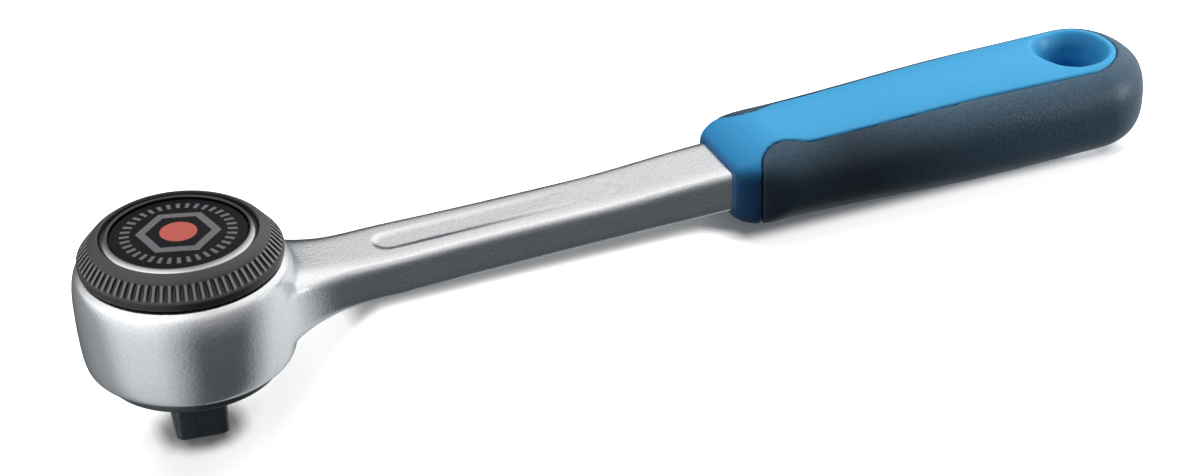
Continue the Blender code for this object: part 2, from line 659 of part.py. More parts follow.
def selector_knob(material, selector):
    """The knurled knob: smooth lower band, ribbed cone, low crown, and a recess for ring and disc."""
    columns = 2 * KNURL_RIBS
    slope = (KNOB_RADIUS - KNOB_KNURL_TOP) / KNOB_KNURL_HEIGHT
    levels = [
        (KNOB_RADIUS, KNOB_LOW, 0.0),
        (KNOB_RADIUS, BAND_TOP, 0.0),
        (KNOB_RADIUS - slope * KNURL_RUN_OUT, BAND_TOP + KNURL_RUN_OUT, KNURL_DEPTH),
        (KNOB_KNURL_TOP + slope * KNURL_RUN_OUT, KNURL_TOP - KNURL_RUN_OUT, KNURL_DEPTH),
        (KNOB_KNURL_TOP, KNURL_TOP, 0.0),
        (KNOB_RECESS_RADIUS, KNOB_TOP, 0.0),
    ]
    rings = []
    for radius, height, depth in levels:
        ring = []
        for column in range(columns):
            angle = 2 * math.pi * column / columns
            reach = radius - depth * (column % 2)
            ring.append((reach * math.cos(angle), reach * math.sin(angle), height))
        rings.append(ring)
    body = solid("selector_knob", loft(rings))
    combine(body, rod(SPIGOT_RADIUS, WEB_LOW, KNOB_LOW + CLEARANCE, KNOB_FACETS), "UNION")

    combine(body, rod(KNOB_RECESS_RADIUS - CLEARANCE / 2, RECESS_FLOOR, KNOB_TOP + CLEARANCE, KNOB_FACETS))
    combine(body, rod(WASHER_RADIUS + CLEARANCE, LEDGE, RECESS_FLOOR + CLEARANCE))
    key = circle(KEY_ACROSS_FLATS / math.sqrt(3) + CLEARANCE, 6)
    combine(body, prism(key, WEB_LOW - CLEARANCE, LEDGE + CLEARANCE))
    reach = SELECTOR_SWING + math.degrees(CLEARANCE / PAWL_PIVOT_RADIUS)
    for turn in (0.0, 180.0):
        start = arc(PAWL_PIVOT_RADIUS, turn - reach, turn - reach, 1)[0]
        end = arc(PAWL_PIVOT_RADIUS, turn + reach, turn + reach, 1)[0]
        slot = arc(PAWL_PIVOT_RADIUS + PIN_HOLE_RADIUS, turn - reach, turn + reach, 10)
        slot += arc(PIN_HOLE_RADIUS, turn + reach, turn + reach + 180.0, 8, end)[1:-1]
        slot += arc(PAWL_PIVOT_RADIUS - PIN_HOLE_RADIUS, turn + reach, turn - reach, 10)
        slot += arc(PIN_HOLE_RADIUS, turn - reach + 180.0, turn - reach + 360.0, 8, start)[1:-1]
        combine(body, prism(slot, WEB_LOW - CLEARANCE, WEB_LOW + PAWL_PIN_REACH + CLEARANCE))
    return place(body, material, selector)


def trim_ring(material, selector):
    """The bright ring pressed into the knob's recess, with a rounded upper edge."""
    low = RECESS_FLOOR + CLEARANCE
    high = KNOB_TOP + TRIM_PROUD
    round_over = TRIM_WALL / 2
    middle = TRIM_RADIUS - round_over
    crest = [(middle + r, high - round_over + z) for r, z in arc(round_over, 0.0, 180.0, 4)]
    profile = [(TRIM_RADIUS - TRIM_WALL, low), (TRIM_RADIUS, low)] + crest
    return place(solid("trim_ring", lathe(profile, KNOB_FACETS)), material, selector)


def emblem_disc(material, selector):
    """The glossy disc inside the trim ring, slightly domed."""
    low = RECESS_FLOOR + CLEARANCE
    edge = KNOB_TOP - DISC_SUNK
    steps = 3
    dome = []
    for step in range(steps + 1):
        share = 1 - step / steps
        dome.append((DISC_RADIUS * share, edge + DISC_DOME * (1 - share ** 2)))
    profile = [(0.0, low), (DISC_RADIUS, low)] + dome
    return place(solid("emblem_disc", lathe(profile, KNOB_FACETS)), material, selector)


def selector_screw(material, selector):
    """The socket screw that holds the knob on its core."""
    seat = LEDGE + WASHER_THICKNESS + 2 * CLEARANCE
    low = WEB_LOW - CLEARANCE - SCREW_DEPTH
    head = seat + SCREW_HEAD_HEIGHT
    profile = [(0.0, low), (SCREW_RADIUS, low), (SCREW_RADIUS, seat), (SCREW_HEAD_RADIUS, seat),
               (SCREW_HEAD_RADIUS, head), (0.0, head)]
    body = solid("selector_screw", lathe(profile, SMALL_FACETS))
    socket = circle(SCREW_SOCKET / math.sqrt(3), 6)
    combine(body, prism(socket, seat + SCREW_HEAD_HEIGHT / 3, head + CLEARANCE))
    return place(body, material, selector)


def screw_washer(material, selector):
    """The washer under the screw's head."""
    hole = SCREW_RADIUS + CLEARANCE
    ring = flat_ring(hole, WASHER_RADIUS, LEDGE + CLEARANCE, WASHER_THICKNESS, SMALL_FACETS)
    return place(solid("screw_washer", ring), material, selector)


def socket_ball(material, drive):
    """The ball that snaps into a socket."""
    shape = bmesh.new()
    bmesh.ops.create_uvsphere(shape, u_segments=16, v_segments=10, radius=BALL_RADIUS)
    centre = SQUARE_SIZE / 2 - BALL_RADIUS + BALL_PROUD
    return place(solid("socket_ball", shape), material, drive, (0.0, centre, BALL_HEIGHT))


def socket_ball_spring(material, drive):
    """The spring behind the ball, at the bottom of its hole."""
    start = SQUARE_SIZE / 2 - BALL_HOLE_DEPTH + CLEARANCE
    end = SQUARE_SIZE / 2 - 2 * BALL_RADIUS + BALL_PROUD - CLEARANCE
    body = coil("socket_ball_spring", BALL_RADIUS - 2 * SPRING_WIRE_RADIUS, start, end, BALL_SPRING_TURNS)
    return place(body, material, drive, (0.0, 0.0, BALL_HEIGHT), 90.0)


def handle_axis_height(x):
    """Height of the handle's middle: it leaves the shank's axis and rises a little to the rear."""
    shoulder_end = HANDLE_FRONT_X + SHOULDER_LENGTH
    if x < shoulder_end:
        return blended(SHANK_AXIS_HEIGHT, HANDLE_FRONT_AXIS_HEIGHT, (x - HANDLE_FRONT_X) / SHOULDER_LENGTH)
    along = (x - shoulder_end) / (HANDLE_END_X - shoulder_end)
    return blended(HANDLE_FRONT_AXIS_HEIGHT, HANDLE_REAR_AXIS_HEIGHT, along ** 2)


def handle_ring(x, inset):
    """One section of the handle's outer form, drawn in by an inset."""
    shoulder_end = HANDLE_FRONT_X + SHOULDER_LENGTH
    round_start = HANDLE_END_X - HANDLE_ROUND_END
    swell = eased((x - shoulder_end) / (HANDLE_BELLY_X - shoulder_end))
    half_width = blended(HANDLE_FRONT_HALF_WIDTH, HANDLE_REAR_HALF_WIDTH, swell) - inset
    half_height = blended(HANDLE_FRONT_HALF_HEIGHT, HANDLE_REAR_HALF_HEIGHT, swell) - inset
    squareness = HANDLE_SQUARENESS
    if x < shoulder_end:
        rest = ((shoulder_end - x) / SHOULDER_LENGTH) ** SHOULDER_ROUNDNESS
        share = max(0.0, 1 - rest) ** (1 / SHOULDER_ROUNDNESS)
        collar_width = SHANK_HALF_END + COLLAR_WALL + CLEARANCE - inset
        collar_height = SHANK_HALF_HEIGHT + COLLAR_WALL + CLEARANCE - inset
        half_width = blended(collar_width, half_width, share)
        half_height = blended(collar_height, half_height, share)
        squareness = blended(SHANK_SQUARENESS, squareness, share)
    if x > round_start:
        share = math.sqrt(max(0.0, 1 - ((x - round_start) / HANDLE_ROUND_END) ** 2))
        half_width *= share
        half_height *= share ** HANDLE_END_BLUNTNESS
    height = handle_axis_height(x)
    section = superellipse(half_width, half_height, squareness, HANDLE_FACETS)
    return [(y, height + z) for y, z in section]


def handle_form(inset):
    """The handle's whole outer form, drawn in by an inset on its sides and at its end."""
    quarter_steps = 6
    body_steps = 6
    shoulder_end = HANDLE_FRONT_X + SHOULDER_LENGTH
    round_start = HANDLE_END_X - HANDLE_ROUND_END
    stations = []
    for step in range(quarter_steps):
        angle = math.pi / 2 * step / quarter_steps
        stations.append(shoulder_end - SHOULDER_LENGTH * math.cos(angle))
    for step in range(body_steps):
        stations.append(shoulder_end + (round_start - shoulder_end) * step / body_steps)
    for step in range(quarter_steps + 1):
        angle = math.radians(HANDLE_END_TURN) * step / quarter_steps
        stations.append(round_start + HANDLE_ROUND_END * math.sin(angle))
    rings = []
    for x in stations:
        shift = inset * min(max((x - round_start) / HANDLE_ROUND_END, 0.0), 1.0)
        rings.append([(x - shift, y, z) for y, z in handle_ring(x, inset)])
    return loft(rings)


def grip_outline(gap):
    """Plan of the grip: both sides and the end, outside the strip, grown by a gap."""
    past = HANDLE_END_X + HANDLE_ROUND_END
    wide = 2 * HANDLE_REAR_HALF_WIDTH
    front = GRIP_FRONT_X - gap
    front_strip = STRIP_FRONT_HALF_WIDTH - gap
    rear_strip = STRIP_REAR_HALF_WIDTH - gap
    corner_x = front + GRIP_CORNER
    corner_y = front_strip - GRIP_HORN + GRIP_CORNER
    edge = arc(GRIP_CORNER, 180.0, 270.0, 5, (corner_x, corner_y))
    horn_steps = 4
    for step in range(1, horn_steps + 1):
        share = step / horn_steps
        edge.append((corner_x + GRIP_HORN_LENGTH * share, front_strip - GRIP_HORN * (1 - eased(share))))
    outline = [(front, -wide), (past, -wide), (past, wide), (front, wide)] + edge
    outline += arc(rear_strip, 90.0, -90.0, 12, (STRIP_END_X - STRIP_REAR_HALF_WIDTH, 0.0))
    outline += [(x, -y) for x, y in reversed(edge)]
    return outline


def handle_core(material):
    """The hard core: collar, strips above and below, the pocket for the tang and the hanging hole."""
    low = HANDLE_REAR_AXIS_HEIGHT - 2 * HANDLE_REAR_HALF_HEIGHT
    high = HANDLE_REAR_AXIS_HEIGHT + 2 * HANDLE_REAR_HALF_HEIGHT
    body = solid("handle_core", handle_form(0.0))
    around = solid("around", prism(grip_outline(CLEARANCE), low, high))
    combine(around, handle_form(GRIP_WALL + CLEARANCE))
    grip_space = bmesh.new()
    grip_space.from_mesh(around.data)
    bpy.data.objects.remove(around, do_unlink=True)
    combine(body, grip_space)

    shank_end = HANDLE_FRONT_X + TANG_ENTRY + CLEARANCE
    mouth = [HANDLE_FRONT_X - SHOULDER_LENGTH, HANDLE_FRONT_X, shank_end]
    combine(body, loft([shank_ring(x, CLEARANCE) for x in mouth]))
    combine(body, tang(HANDLE_FRONT_X, shank_end + TANG_LENGTH, CLEARANCE))
    combine(body, hanging_hole(low, high))
    return place(body, material)


def hanging_hole(low, high):
    """The long hole through the handle's end, opened out where it meets the top and the bottom."""
    middle = handle_axis_height(HANG_HOLE_X)
    top = middle + HANDLE_REAR_HALF_HEIGHT
    bottom = middle - HANDLE_REAR_HALF_HEIGHT
    flare = HANG_HOLE_FLARE
    rings = []
    lead = HANG_HOLE_LEAD * flare
    levels = ((low, flare), (bottom, flare), (bottom + flare, lead), (bottom + 2 * flare, 0.0),
              (top - 2 * flare, 0.0), (top - flare, lead), (top, flare), (high, flare))
    for height, wider in levels:
        radius = HANG_HOLE_WIDTH / 2 + wider
        offset = (HANG_HOLE_LENGTH - HANG_HOLE_WIDTH) / 2
        outline = arc(radius, -90.0, 90.0, 10, (HANG_HOLE_X + offset, 0.0))
        outline += arc(radius, 90.0, 270.0, 10, (HANG_HOLE_X - offset, 0.0))
        rings.append([(x, y, height) for x, y in outline])
    return loft(rings)


def grip_overmould(material):
    """The soft grip over both sides and round the end of the core."""
    low = HANDLE_REAR_AXIS_HEIGHT - 2 * HANDLE_REAR_HALF_HEIGHT
    high = HANDLE_REAR_AXIS_HEIGHT + 2 * HANDLE_REAR_HALF_HEIGHT
    body = solid("grip_overmould", handle_form(0.0))
    combine(body, prism(grip_outline(0.0), low, high), "INTERSECT")
    combine(body, handle_form(GRIP_WALL))
    return place(body, material)


satin_chrome = finish("satin_chrome", (0.72, 0.73, 0.75), 0.32, 1.0)
bright_chrome = finish("bright_chrome", (0.88, 0.89, 0.90), 0.08, 1.0)
dark_steel = finish("dark_steel", (0.05, 0.05, 0.055), 0.45, 0.8)
hard_steel = finish("hard_steel", (0.42, 0.42, 0.43), 0.35, 1.0)
spring_steel = finish("spring_steel", (0.55, 0.55, 0.57), 0.3, 1.0)
knob_black = finish("knob_black", (0.06, 0.06, 0.065), 0.5, 0.0)
disc_black = finish("disc_black", (0.01, 0.01, 0.012), 0.08, 0.0)
core_blue = finish("core_blue", (0.06, 0.30, 0.62), 0.35, 0.0)
grip_dark = finish("grip_dark", (0.055, 0.06, 0.07), 0.75, 0.0)

drive_axis = axis_empty("drive_axis", turn=DRIVE_TURN)
selector_axis = axis_empty("selector_axis", drive_axis, turn=SELECTOR_SWING)

ratchet_body(satin_chrome)
handle_core(core_blue)
grip_overmould(grip_dark)

drive_body(dark_steel, drive_axis)
pawl("pawl_front", hard_steel, drive_axis, 0.0)
pawl("pawl_rear", hard_steel, drive_axis, 180.0)
pawl_pin("pawl_pin_front", hard_steel, drive_axis, 0.0)
pawl_pin("pawl_pin_rear", hard_steel, drive_axis, 180.0)
cover_plate(hard_steel, drive_axis)
retaining_clip(spring_steel, drive_axis)
socket_ball(bright_chrome, drive_axis)
socket_ball_spring(spring_steel, drive_axis)

selector_core(hard_steel, selector_axis)
plunger("plunger_front", hard_steel, selector_axis, 0.0)
plunger("plunger_rear", hard_steel, selector_axis, 180.0)
plunger_spring(spring_steel, selector_axis)
selector_knob(knob_black, selector_axis)
trim_ring(bright_chrome, selector_axis)
emblem_disc(disc_black, selector_axis)
selector_screw(hard_steel, selector_axis)
screw_washer(spring_steel, selector_axis)
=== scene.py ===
import math

import bmesh
import bpy
from mathutils import Matrix, Vector


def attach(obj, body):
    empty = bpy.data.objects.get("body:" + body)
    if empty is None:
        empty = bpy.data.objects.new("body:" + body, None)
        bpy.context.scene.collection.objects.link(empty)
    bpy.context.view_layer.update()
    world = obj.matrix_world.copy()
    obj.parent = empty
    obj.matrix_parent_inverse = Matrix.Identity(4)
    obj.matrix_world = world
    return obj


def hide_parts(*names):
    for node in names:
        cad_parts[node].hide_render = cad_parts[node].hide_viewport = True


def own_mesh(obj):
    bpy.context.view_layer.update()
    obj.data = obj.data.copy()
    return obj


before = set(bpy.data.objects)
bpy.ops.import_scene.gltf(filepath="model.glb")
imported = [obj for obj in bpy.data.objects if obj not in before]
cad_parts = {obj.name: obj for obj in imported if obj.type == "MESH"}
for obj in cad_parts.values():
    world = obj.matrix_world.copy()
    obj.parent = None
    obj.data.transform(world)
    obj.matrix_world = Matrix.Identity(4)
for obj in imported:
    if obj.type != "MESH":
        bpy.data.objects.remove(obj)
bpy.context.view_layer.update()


# Ratchet body: head, neck and shank in one steel forging, blasted and satin chromed.
# The head is bored from both ends for the drive, with a ring of teeth left between the bores.
# A flat tang runs on behind the shank, and the handle is moulded round it.
mm = 0.001
head_low, belly_height, head_high = 10.65 * mm, 19.45 * mm, 23.4 * mm
head_bottom, head_belly, head_rim, head_edge = 12.15 * mm, 12.95 * mm, 12.15 * mm, 0.35 * mm
neck_touch, neck_start, neck_end = 7.63 * mm, 9.0 * mm, 25.31 * mm
fillet_end, neck_fillet = 20.1 * mm, 16.0 * mm
neck_top, neck_bottom = 22.8 * mm, 10.8 * mm
front_top, front_bottom, rear_top, rear_bottom = 19.6 * mm, 14.3 * mm, 20.05 * mm, 15.05 * mm
waist_x, collar_x = 44.0 * mm, 68.4 * mm
neck_half, waist_half, collar_half = 4.7 * mm, 4.3 * mm, 4.7 * mm
shank_end, tang_end, tang_overlap, tang_middle = 71.0 * mm, 105.0 * mm, 2.6 * mm, 17.55 * mm
rise_start, rise_height = 50 * mm, 0.65 * mm
shank_squareness, neck_squareness, tang_squareness = 9.0, 3.4, 7.0
panel_half, panel_start, panel_close = 1.8 * mm, 23.2 * mm, 55.0 * mm
panel_deep, panel_shallow = 0.2 * mm, 0.02 * mm
root_reach, root_width = 13.2 * mm, 3.2 * mm
root_front, root_low, root_high = 6 * mm, 11 * mm, 22.9 * mm
teeth, tooth_root, tooth_tip = 24, 10.4 * mm, 9.4 * mm
ring_low, ring_high = 12.3 * mm, 19.65 * mm
lower_bore, upper_bore = 9.15 * mm, 10.6 * mm


def start_piece(name):
    """Name the primitive just added and go into edit mode with all of it selected."""
    piece = bpy.context.object
    piece.name = name
    piece.data.name = name
    bpy.ops.object.transform_apply(location=True, rotation=True, scale=True)
    bpy.ops.object.mode_set(mode="EDIT")
    bpy.ops.mesh.select_mode(type="VERT")
    bpy.ops.mesh.select_all(action="SELECT")
    return piece


def close_piece():
    """Merge doubles, turn all faces outwards and leave edit mode."""
    bpy.ops.mesh.select_all(action="SELECT")
    bpy.ops.mesh.remove_doubles(threshold=0.0005 * mm)
    bpy.ops.mesh.normals_make_consistent(inside=False)
    bpy.ops.object.mode_set(mode="OBJECT")


def turned(name, profile, facets, fill="NGON"):
    """A piece turned about +Z: a disc extruded and scaled from point to point of its profile."""
    radius, height = profile[0]
    bpy.ops.object.select_all(action="DESELECT")
    bpy.ops.mesh.primitive_circle_add(vertices=facets, radius=radius, fill_type=fill, location=(0, 0, height))
    piece = start_piece(name)
    for (radius, height), (next_radius, next_height) in zip(profile, profile[1:]):
        bpy.ops.mesh.extrude_region_move(TRANSFORM_OT_translate={"value": (0, 0, next_height - height)})
        scale = next_radius / radius
        bpy.ops.transform.resize(value=(scale, scale, 1), center_override=(0, 0, 0))
    close_piece()
    return piece


def drawn(name, rings):
    """A bar drawn through rings of points: a face extruded from ring to ring, each corner moved to its point."""
    bpy.ops.object.select_all(action="DESELECT")
    bpy.ops.mesh.primitive_circle_add(vertices=len(rings[0]), radius=mm, fill_type="NGON")
    piece = start_piece(name)
    shape = bmesh.from_edit_mesh(piece.data)
    spot = shape.verts.layers.int.new("spot")
    for number, corner in enumerate(shape.verts):
        corner[spot] = number
    for step, ring in enumerate(rings):
        if step:
            bpy.ops.mesh.extrude_region_move()
        shape = bmesh.from_edit_mesh(piece.data)
        spot = shape.verts.layers.int["spot"]
        for corner in shape.verts:
            if corner.select:
                corner.co = ring[corner[spot]]
    bmesh.update_edit_mesh(piece.data)
    close_piece()
    piece.data.attributes.remove(piece.data.attributes["spot"])
    return piece


def worked(piece, kind, **settings):
    """Put one modifier on a piece, set it and apply it."""
    modifier = piece.modifiers.new(kind.lower(), kind)
    for setting, value in settings.items():
        setattr(modifier, setting, value)
    bpy.context.view_layer.objects.active = piece
    bpy.ops.object.modifier_apply(modifier=modifier.name)


def combined(piece, tool, operation):
    """Join, cut or trim a piece with a second one, which is used up."""
    worked(piece, "BOOLEAN", operation=operation, object=tool, solver="EXACT")
    bpy.data.objects.remove(tool, do_unlink=True)


def relaxed(piece, grain, passes, lay=0.0):
    """Give a piece an even skin, laid at an angle about +Z, and relax it, which rounds its edges."""
    piece.data.transform(Matrix.Rotation(lay, 4, "Z"))
    worked(piece, "REMESH", mode="VOXEL", voxel_size=grain)
    worked(piece, "SMOOTH", factor=0.5, iterations=passes)
    piece.data.transform(Matrix.Rotation(-lay, 4, "Z"))


def blended(first, second, share):
    """The value that lies a share of the way from the first to the second."""
    return first + (second - first) * share


def eased(share):
    """A share between 0 and 1 that starts and stops gently."""
    share = min(max(share, 0.0), 1.0)
    return share * share * (3 - 2 * share)


def section(half_width, half_height, squareness, points=64):
    """Points of a rounded section, from an ellipse at 2 towards a rectangle as squareness grows."""
    ring = []
    for step in range(points):
        angle = 2 * math.pi * (step + 0.5) / points
        across = math.copysign(abs(math.cos(angle)) ** (2 / squareness), math.cos(angle))
        upward = math.copysign(abs(math.sin(angle)) ** (2 / squareness), math.sin(angle))
        ring.append((half_width * across, half_height * upward))
    return ring


def shank_levels(x):
    """Top and bottom of the shank, which leans down and grows deeper towards the neck."""
    share = min(max((x - neck_end) / (collar_x - neck_end), 0.0), 1.0)
    rise = rise_height * eased((x - rise_start) / (collar_x - rise_start))
    return blended(front_top, rear_top, share) + rise, blended(front_bottom, rear_bottom, share)


def shank_section(x, gap=0.0):
    """The neck and shank at one place along +X, grown by a gap all round."""
    end, half_end = (neck_end, neck_half) if x < waist_x else (collar_x, collar_half)
    half = blended(waist_half, half_end, ((x - waist_x) / (end - waist_x)) ** 2)
    flare = 0.0
    if x < neck_end:
        half = neck_half + neck_fillet - math.sqrt(neck_fillet ** 2 - max(fillet_end - x, 0.0) ** 2)
        flare = (neck_end - x) / (neck_end - neck_touch)
    top, bottom = shank_levels(x)
    top = blended(top, neck_top, flare ** 4)
    bottom = blended(bottom, neck_bottom, flare ** 2.5)
    ring = section(half + gap, (top - bottom) / 2 + gap, blended(shank_squareness, neck_squareness, flare))
    return [(x, y, (top + bottom) / 2 + z) for y, z in ring]


def along(start, end, steps):
    """Even places from start to end, both included."""
    return [start + (end - start) * step / steps for step in range(steps + 1)]


head_profile = [(head_bottom - head_edge, head_low)]
for turn in along(0, math.pi / 2, 16):
    reach = head_bottom + (head_belly - head_bottom) * math.sin(turn)
    head_profile.append((reach, belly_height - (belly_height - head_low - head_edge) * math.cos(turn)))
for turn in along(0, math.pi / 2, 10)[1:]:
    reach = head_rim + (head_belly - head_rim) * math.cos(turn)
    head_profile.append((reach, belly_height + (head_high - head_edge - belly_height) * math.sin(turn)))
head_profile.append((head_rim - head_edge, head_high))
forging = turned("forged_body", head_profile, 144)
stations = along(neck_start, neck_end, 24) + along(neck_end, shank_end, 24)[1:]
combined(forging, drawn("shank", [shank_section(x) for x in stations]), "UNION")


def tang_bar(name, half_width, half_height, start, end):
    """A flat bar along +X in the middle of the handle."""
    ring = [(y, tang_middle + z) for y, z in section(half_width, half_height, tang_squareness, 32)]
    return drawn(name, [[(x, y, z) for y, z in ring] for x in (start, end)])


combined(forging, tang_bar("tang", 3.2 * mm, 1.9 * mm, shank_end - tang_overlap, tang_end), "UNION")

panel_rings = []
for lift, draft in ((0.0, 0.0), (0.8 * mm, 0.4 * mm)):
    reach = panel_half + draft
    ring = []
    for middle, first, last in ((panel_start + panel_half, 90, 270), (panel_close - panel_half, -90, 90)):
        for turn in along(first, last, 16):
            angle = math.radians(turn)
            x = middle + reach * math.cos(angle)
            depth = blended(panel_deep, panel_shallow, (x - panel_start) / (panel_close - panel_start))
            ring.append((x, reach * math.sin(angle), shank_levels(x)[0] - depth + lift))
    panel_rings.append(ring)
combined(forging, drawn("panel", panel_rings), "DIFFERENCE")
relaxed(forging, 0.22 * mm, 6)
root = forging.vertex_groups.new(name="neck_root")
for corner in forging.data.vertices:
    x, y, z = corner.co
    from_seam = 1 - abs(math.hypot(x, y) - root_reach) / root_width
    share = min(from_seam, (x - root_front) / (2 * mm), (z - root_low) / (1.5 * mm), (root_high - z) / mm)
    if share > 0:
        root.add([corner.index], min(2 * share, 1.0), "REPLACE")
worked(forging, "SMOOTH", factor=0.5, iterations=40, vertex_group="neck_root")
forging.vertex_groups.clear()

combined(forging, turned("lower_bore", [(lower_bore, 10.3 * mm), (lower_bore, 12.6 * mm)], 96), "DIFFERENCE")
tooth_rings = []
for level in (ring_low, ring_high):
    ring = []
    for tooth in range(teeth):
        for turn, reach in ((-0.9, tooth_root), (0.9, tooth_root), (6.6, tooth_tip), (8.4, tooth_tip)):
            angle = math.radians(360 / teeth * tooth + turn)
            ring.append((reach * math.cos(angle), reach * math.sin(angle), level))
    tooth_rings.append(ring)
combined(forging, drawn("tooth_ring", tooth_rings), "DIFFERENCE")
combined(forging, turned("upper_bore", [(upper_bore, 19.4 * mm), (upper_bore, 23.8 * mm)], 96), "DIFFERENCE")
forging.data.shade_smooth()
forging.data.set_sharp_from_angle(angle=math.radians(35))


def grain_group():
    """Fine grain of a blasted or moulded skin: a height, and a slow patchiness of the whole surface."""
    group = bpy.data.node_groups.new("skin_grain", "ShaderNodeTree")
    group.interface.new_socket("Grains", in_out="INPUT", socket_type="NodeSocketFloat")
    group.interface.new_socket("Patches", in_out="INPUT", socket_type="NodeSocketFloat")
    group.interface.new_socket("Height", in_out="OUTPUT", socket_type="NodeSocketFloat")
    group.interface.new_socket("Patch", in_out="OUTPUT", socket_type="NodeSocketFloat")
    group.interface.new_socket("Tone", in_out="OUTPUT", socket_type="NodeSocketFloat")
    entry = group.nodes.new("NodeGroupInput")
    out = group.nodes.new("NodeGroupOutput")
    place = group.nodes.new("ShaderNodeTexCoord")
    fine = group.nodes.new("ShaderNodeTexNoise")
    fine.inputs["Detail"].default_value = 3.0
    fine.inputs["Roughness"].default_value = 0.6
    slow = group.nodes.new("ShaderNodeTexNoise")
    slow.inputs["Detail"].default_value = 2.0
    for texture, size in ((fine, "Grains"), (slow, "Patches")):
        group.links.new(place.outputs["Object"], texture.inputs["Vector"])
        group.links.new(entry.outputs[size], texture.inputs["Scale"])
    tone = group.nodes.new("ShaderNodeMapRange")
    tone.inputs["From Min"].default_value = 0.32
    tone.inputs["From Max"].default_value = 0.68
    group.links.new(fine.outputs["Fac"], tone.inputs["Value"])
    group.links.new(fine.outputs["Fac"], out.inputs["Height"])
    group.links.new(slow.outputs["Fac"], out.inputs["Patch"])
    group.links.new(tone.outputs["Result"], out.inputs["Tone"])
    return group


skin_grain = grain_group()


def finish_start(name, colour, roughness, metallic):
    """A new material with its plain colour, roughness and metal set on the shader."""
    material = bpy.data.materials.new(name)
    material.use_nodes = True
    shader = material.node_tree.nodes["Principled BSDF"]
    shader.inputs["Base Color"].default_value = (*colour, 1.0)
    shader.inputs["Roughness"].default_value = roughness
    shader.inputs["Metallic"].default_value = metallic
    return material, material.node_tree, shader


def spread(tree, value, low, high):
    """Map a 0 to 1 value on to low to high."""
    node = tree.nodes.new("ShaderNodeMapRange")
    node.inputs["From Min"].default_value = 0.3
    node.inputs["From Max"].default_value = 0.7
    node.inputs["To Min"].default_value = low
    node.inputs["To Max"].default_value = high
    tree.links.new(value, node.inputs["Value"])
    return node.outputs["Result"]


def two_tone(tree, share, first, second):
    """A colour between two, by a share that changes over the surface."""
    node = tree.nodes.new("ShaderNodeMix")
    node.data_type = "RGBA"
    node.inputs["A"].default_value = (*first, 1.0)
    node.inputs["B"].default_value = (*second, 1.0)
    tree.links.new(share, node.inputs["Factor"])
    return node.outputs["Result"]


def raised(tree, shader, height, depth):
    """Let a height stand out of the surface by a depth in metres."""
    node = tree.nodes.new("ShaderNodeBump")
    node.inputs["Strength"].default_value = 1.0
    node.inputs["Distance"].default_value = depth
    tree.links.new(height, node.inputs["Height"])
    tree.links.new(node.outputs["Normal"], shader.inputs["Normal"])


def grained_finish(name, first, second, roughness, metallic, grains, patches, depth):
    """A finish with two close tones, uneven gloss and a fine raised grain."""
    material, tree, shader = finish_start(name, first, roughness[0], metallic)
    grain = tree.nodes.new("ShaderNodeGroup")
    grain.node_tree = skin_grain
    grain.inputs["Grains"].default_value = grains
    grain.inputs["Patches"].default_value = patches
    tree.links.new(two_tone(tree, grain.outputs["Tone"], first, second), shader.inputs["Base Color"])
    tree.links.new(spread(tree, grain.outputs["Patch"], *roughness), shader.inputs["Roughness"])
    raised(tree, shader, grain.outputs["Height"], depth)
    return material, tree, shader


satin_chrome, tree, shader = grained_finish(
    "satin_chrome", (0.70, 0.71, 0.73), (0.77, 0.775, 0.78), (0.19, 0.23), 1.0, 2600.0, 300.0, 0.024 * mm)


def fixed(piece, material, body, slot, *nodes):
    """Give a finished piece its material, its body and the nodes it stands for. The slot is not used."""
    piece.data.materials.clear()
    piece.data.materials.append(material)
    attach(piece, body)
    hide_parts(*nodes)


fixed(forging, satin_chrome, "housing", "satin_chrome", "ratchet_body")


# Square drive: square, flange, pawl carrier and hub turned and milled from one steel bar, then blackened.
# The flange runs under the head, and the hub reaches up through the cover plate to the clip.
drive_turn = math.radians(-7.5)
square_half, square_length, square_corner, lead_in = 3.175 * mm, 9.0 * mm, 0.7 * mm, 0.6 * mm
pocket_outer, pocket_inner, pocket_half_turn = 9.4 * mm, 4.95 * mm, 64
ball_height, ball_hole_radius, ball_hole_mouth = 4.0 * mm, 1.45 * mm, 1.12 * mm


def cut_slots(piece, name, outer, inner, half_turn, steps, low, high):
    """Cut two curved slots into a piece, one on each side of its axis."""
    for side in (0, math.pi):
        rings = []
        for level in (low, high):
            ring = []
            for reach, first, last in ((outer, -half_turn, half_turn), (inner, half_turn, -half_turn)):
                for turn in along(first, last, steps):
                    angle = math.radians(turn) + side
                    ring.append((reach * math.cos(angle), reach * math.sin(angle), level))
            rings.append(ring)
        combined(piece, drawn(name, rings), "DIFFERENCE")


bpy.ops.object.select_all(action="DESELECT")
bpy.ops.mesh.primitive_plane_add(size=2 * square_half, location=(0, 0, 0))
square = start_piece("square_drive")
bpy.ops.mesh.bevel(offset=square_corner, segments=6, affect="VERTICES", clamp_overlap=True)
bpy.ops.mesh.select_all(action="SELECT")
near_end = (square_half - lead_in) / square_half
bpy.ops.transform.resize(value=(near_end, near_end, 1), center_override=(0, 0, 0))
bpy.ops.mesh.extrude_region_move(TRANSFORM_OT_translate={"value": (0, 0, lead_in)})
bpy.ops.transform.resize(value=(1 / near_end, 1 / near_end, 1), center_override=(0, 0, 0))
bpy.ops.mesh.extrude_region_move(TRANSFORM_OT_translate={"value": (0, 0, square_length)})
close_piece()
worked(square, "BEVEL", width=0.18 * mm, segments=3, limit_method="ANGLE", angle_limit=math.radians(25))
carrier_profile = [
    (10.2, 9.0), (10.45, 9.1), (10.6, 9.35), (10.6, 10.4), (8.9, 10.4), (8.9, 19.4), (4.9, 19.4), (4.9, 20.575),
    (4.4, 20.575), (4.4, 21.425), (4.9, 21.425), (4.9, 22.15), (3.65, 22.15), (3.65, 12.3)]
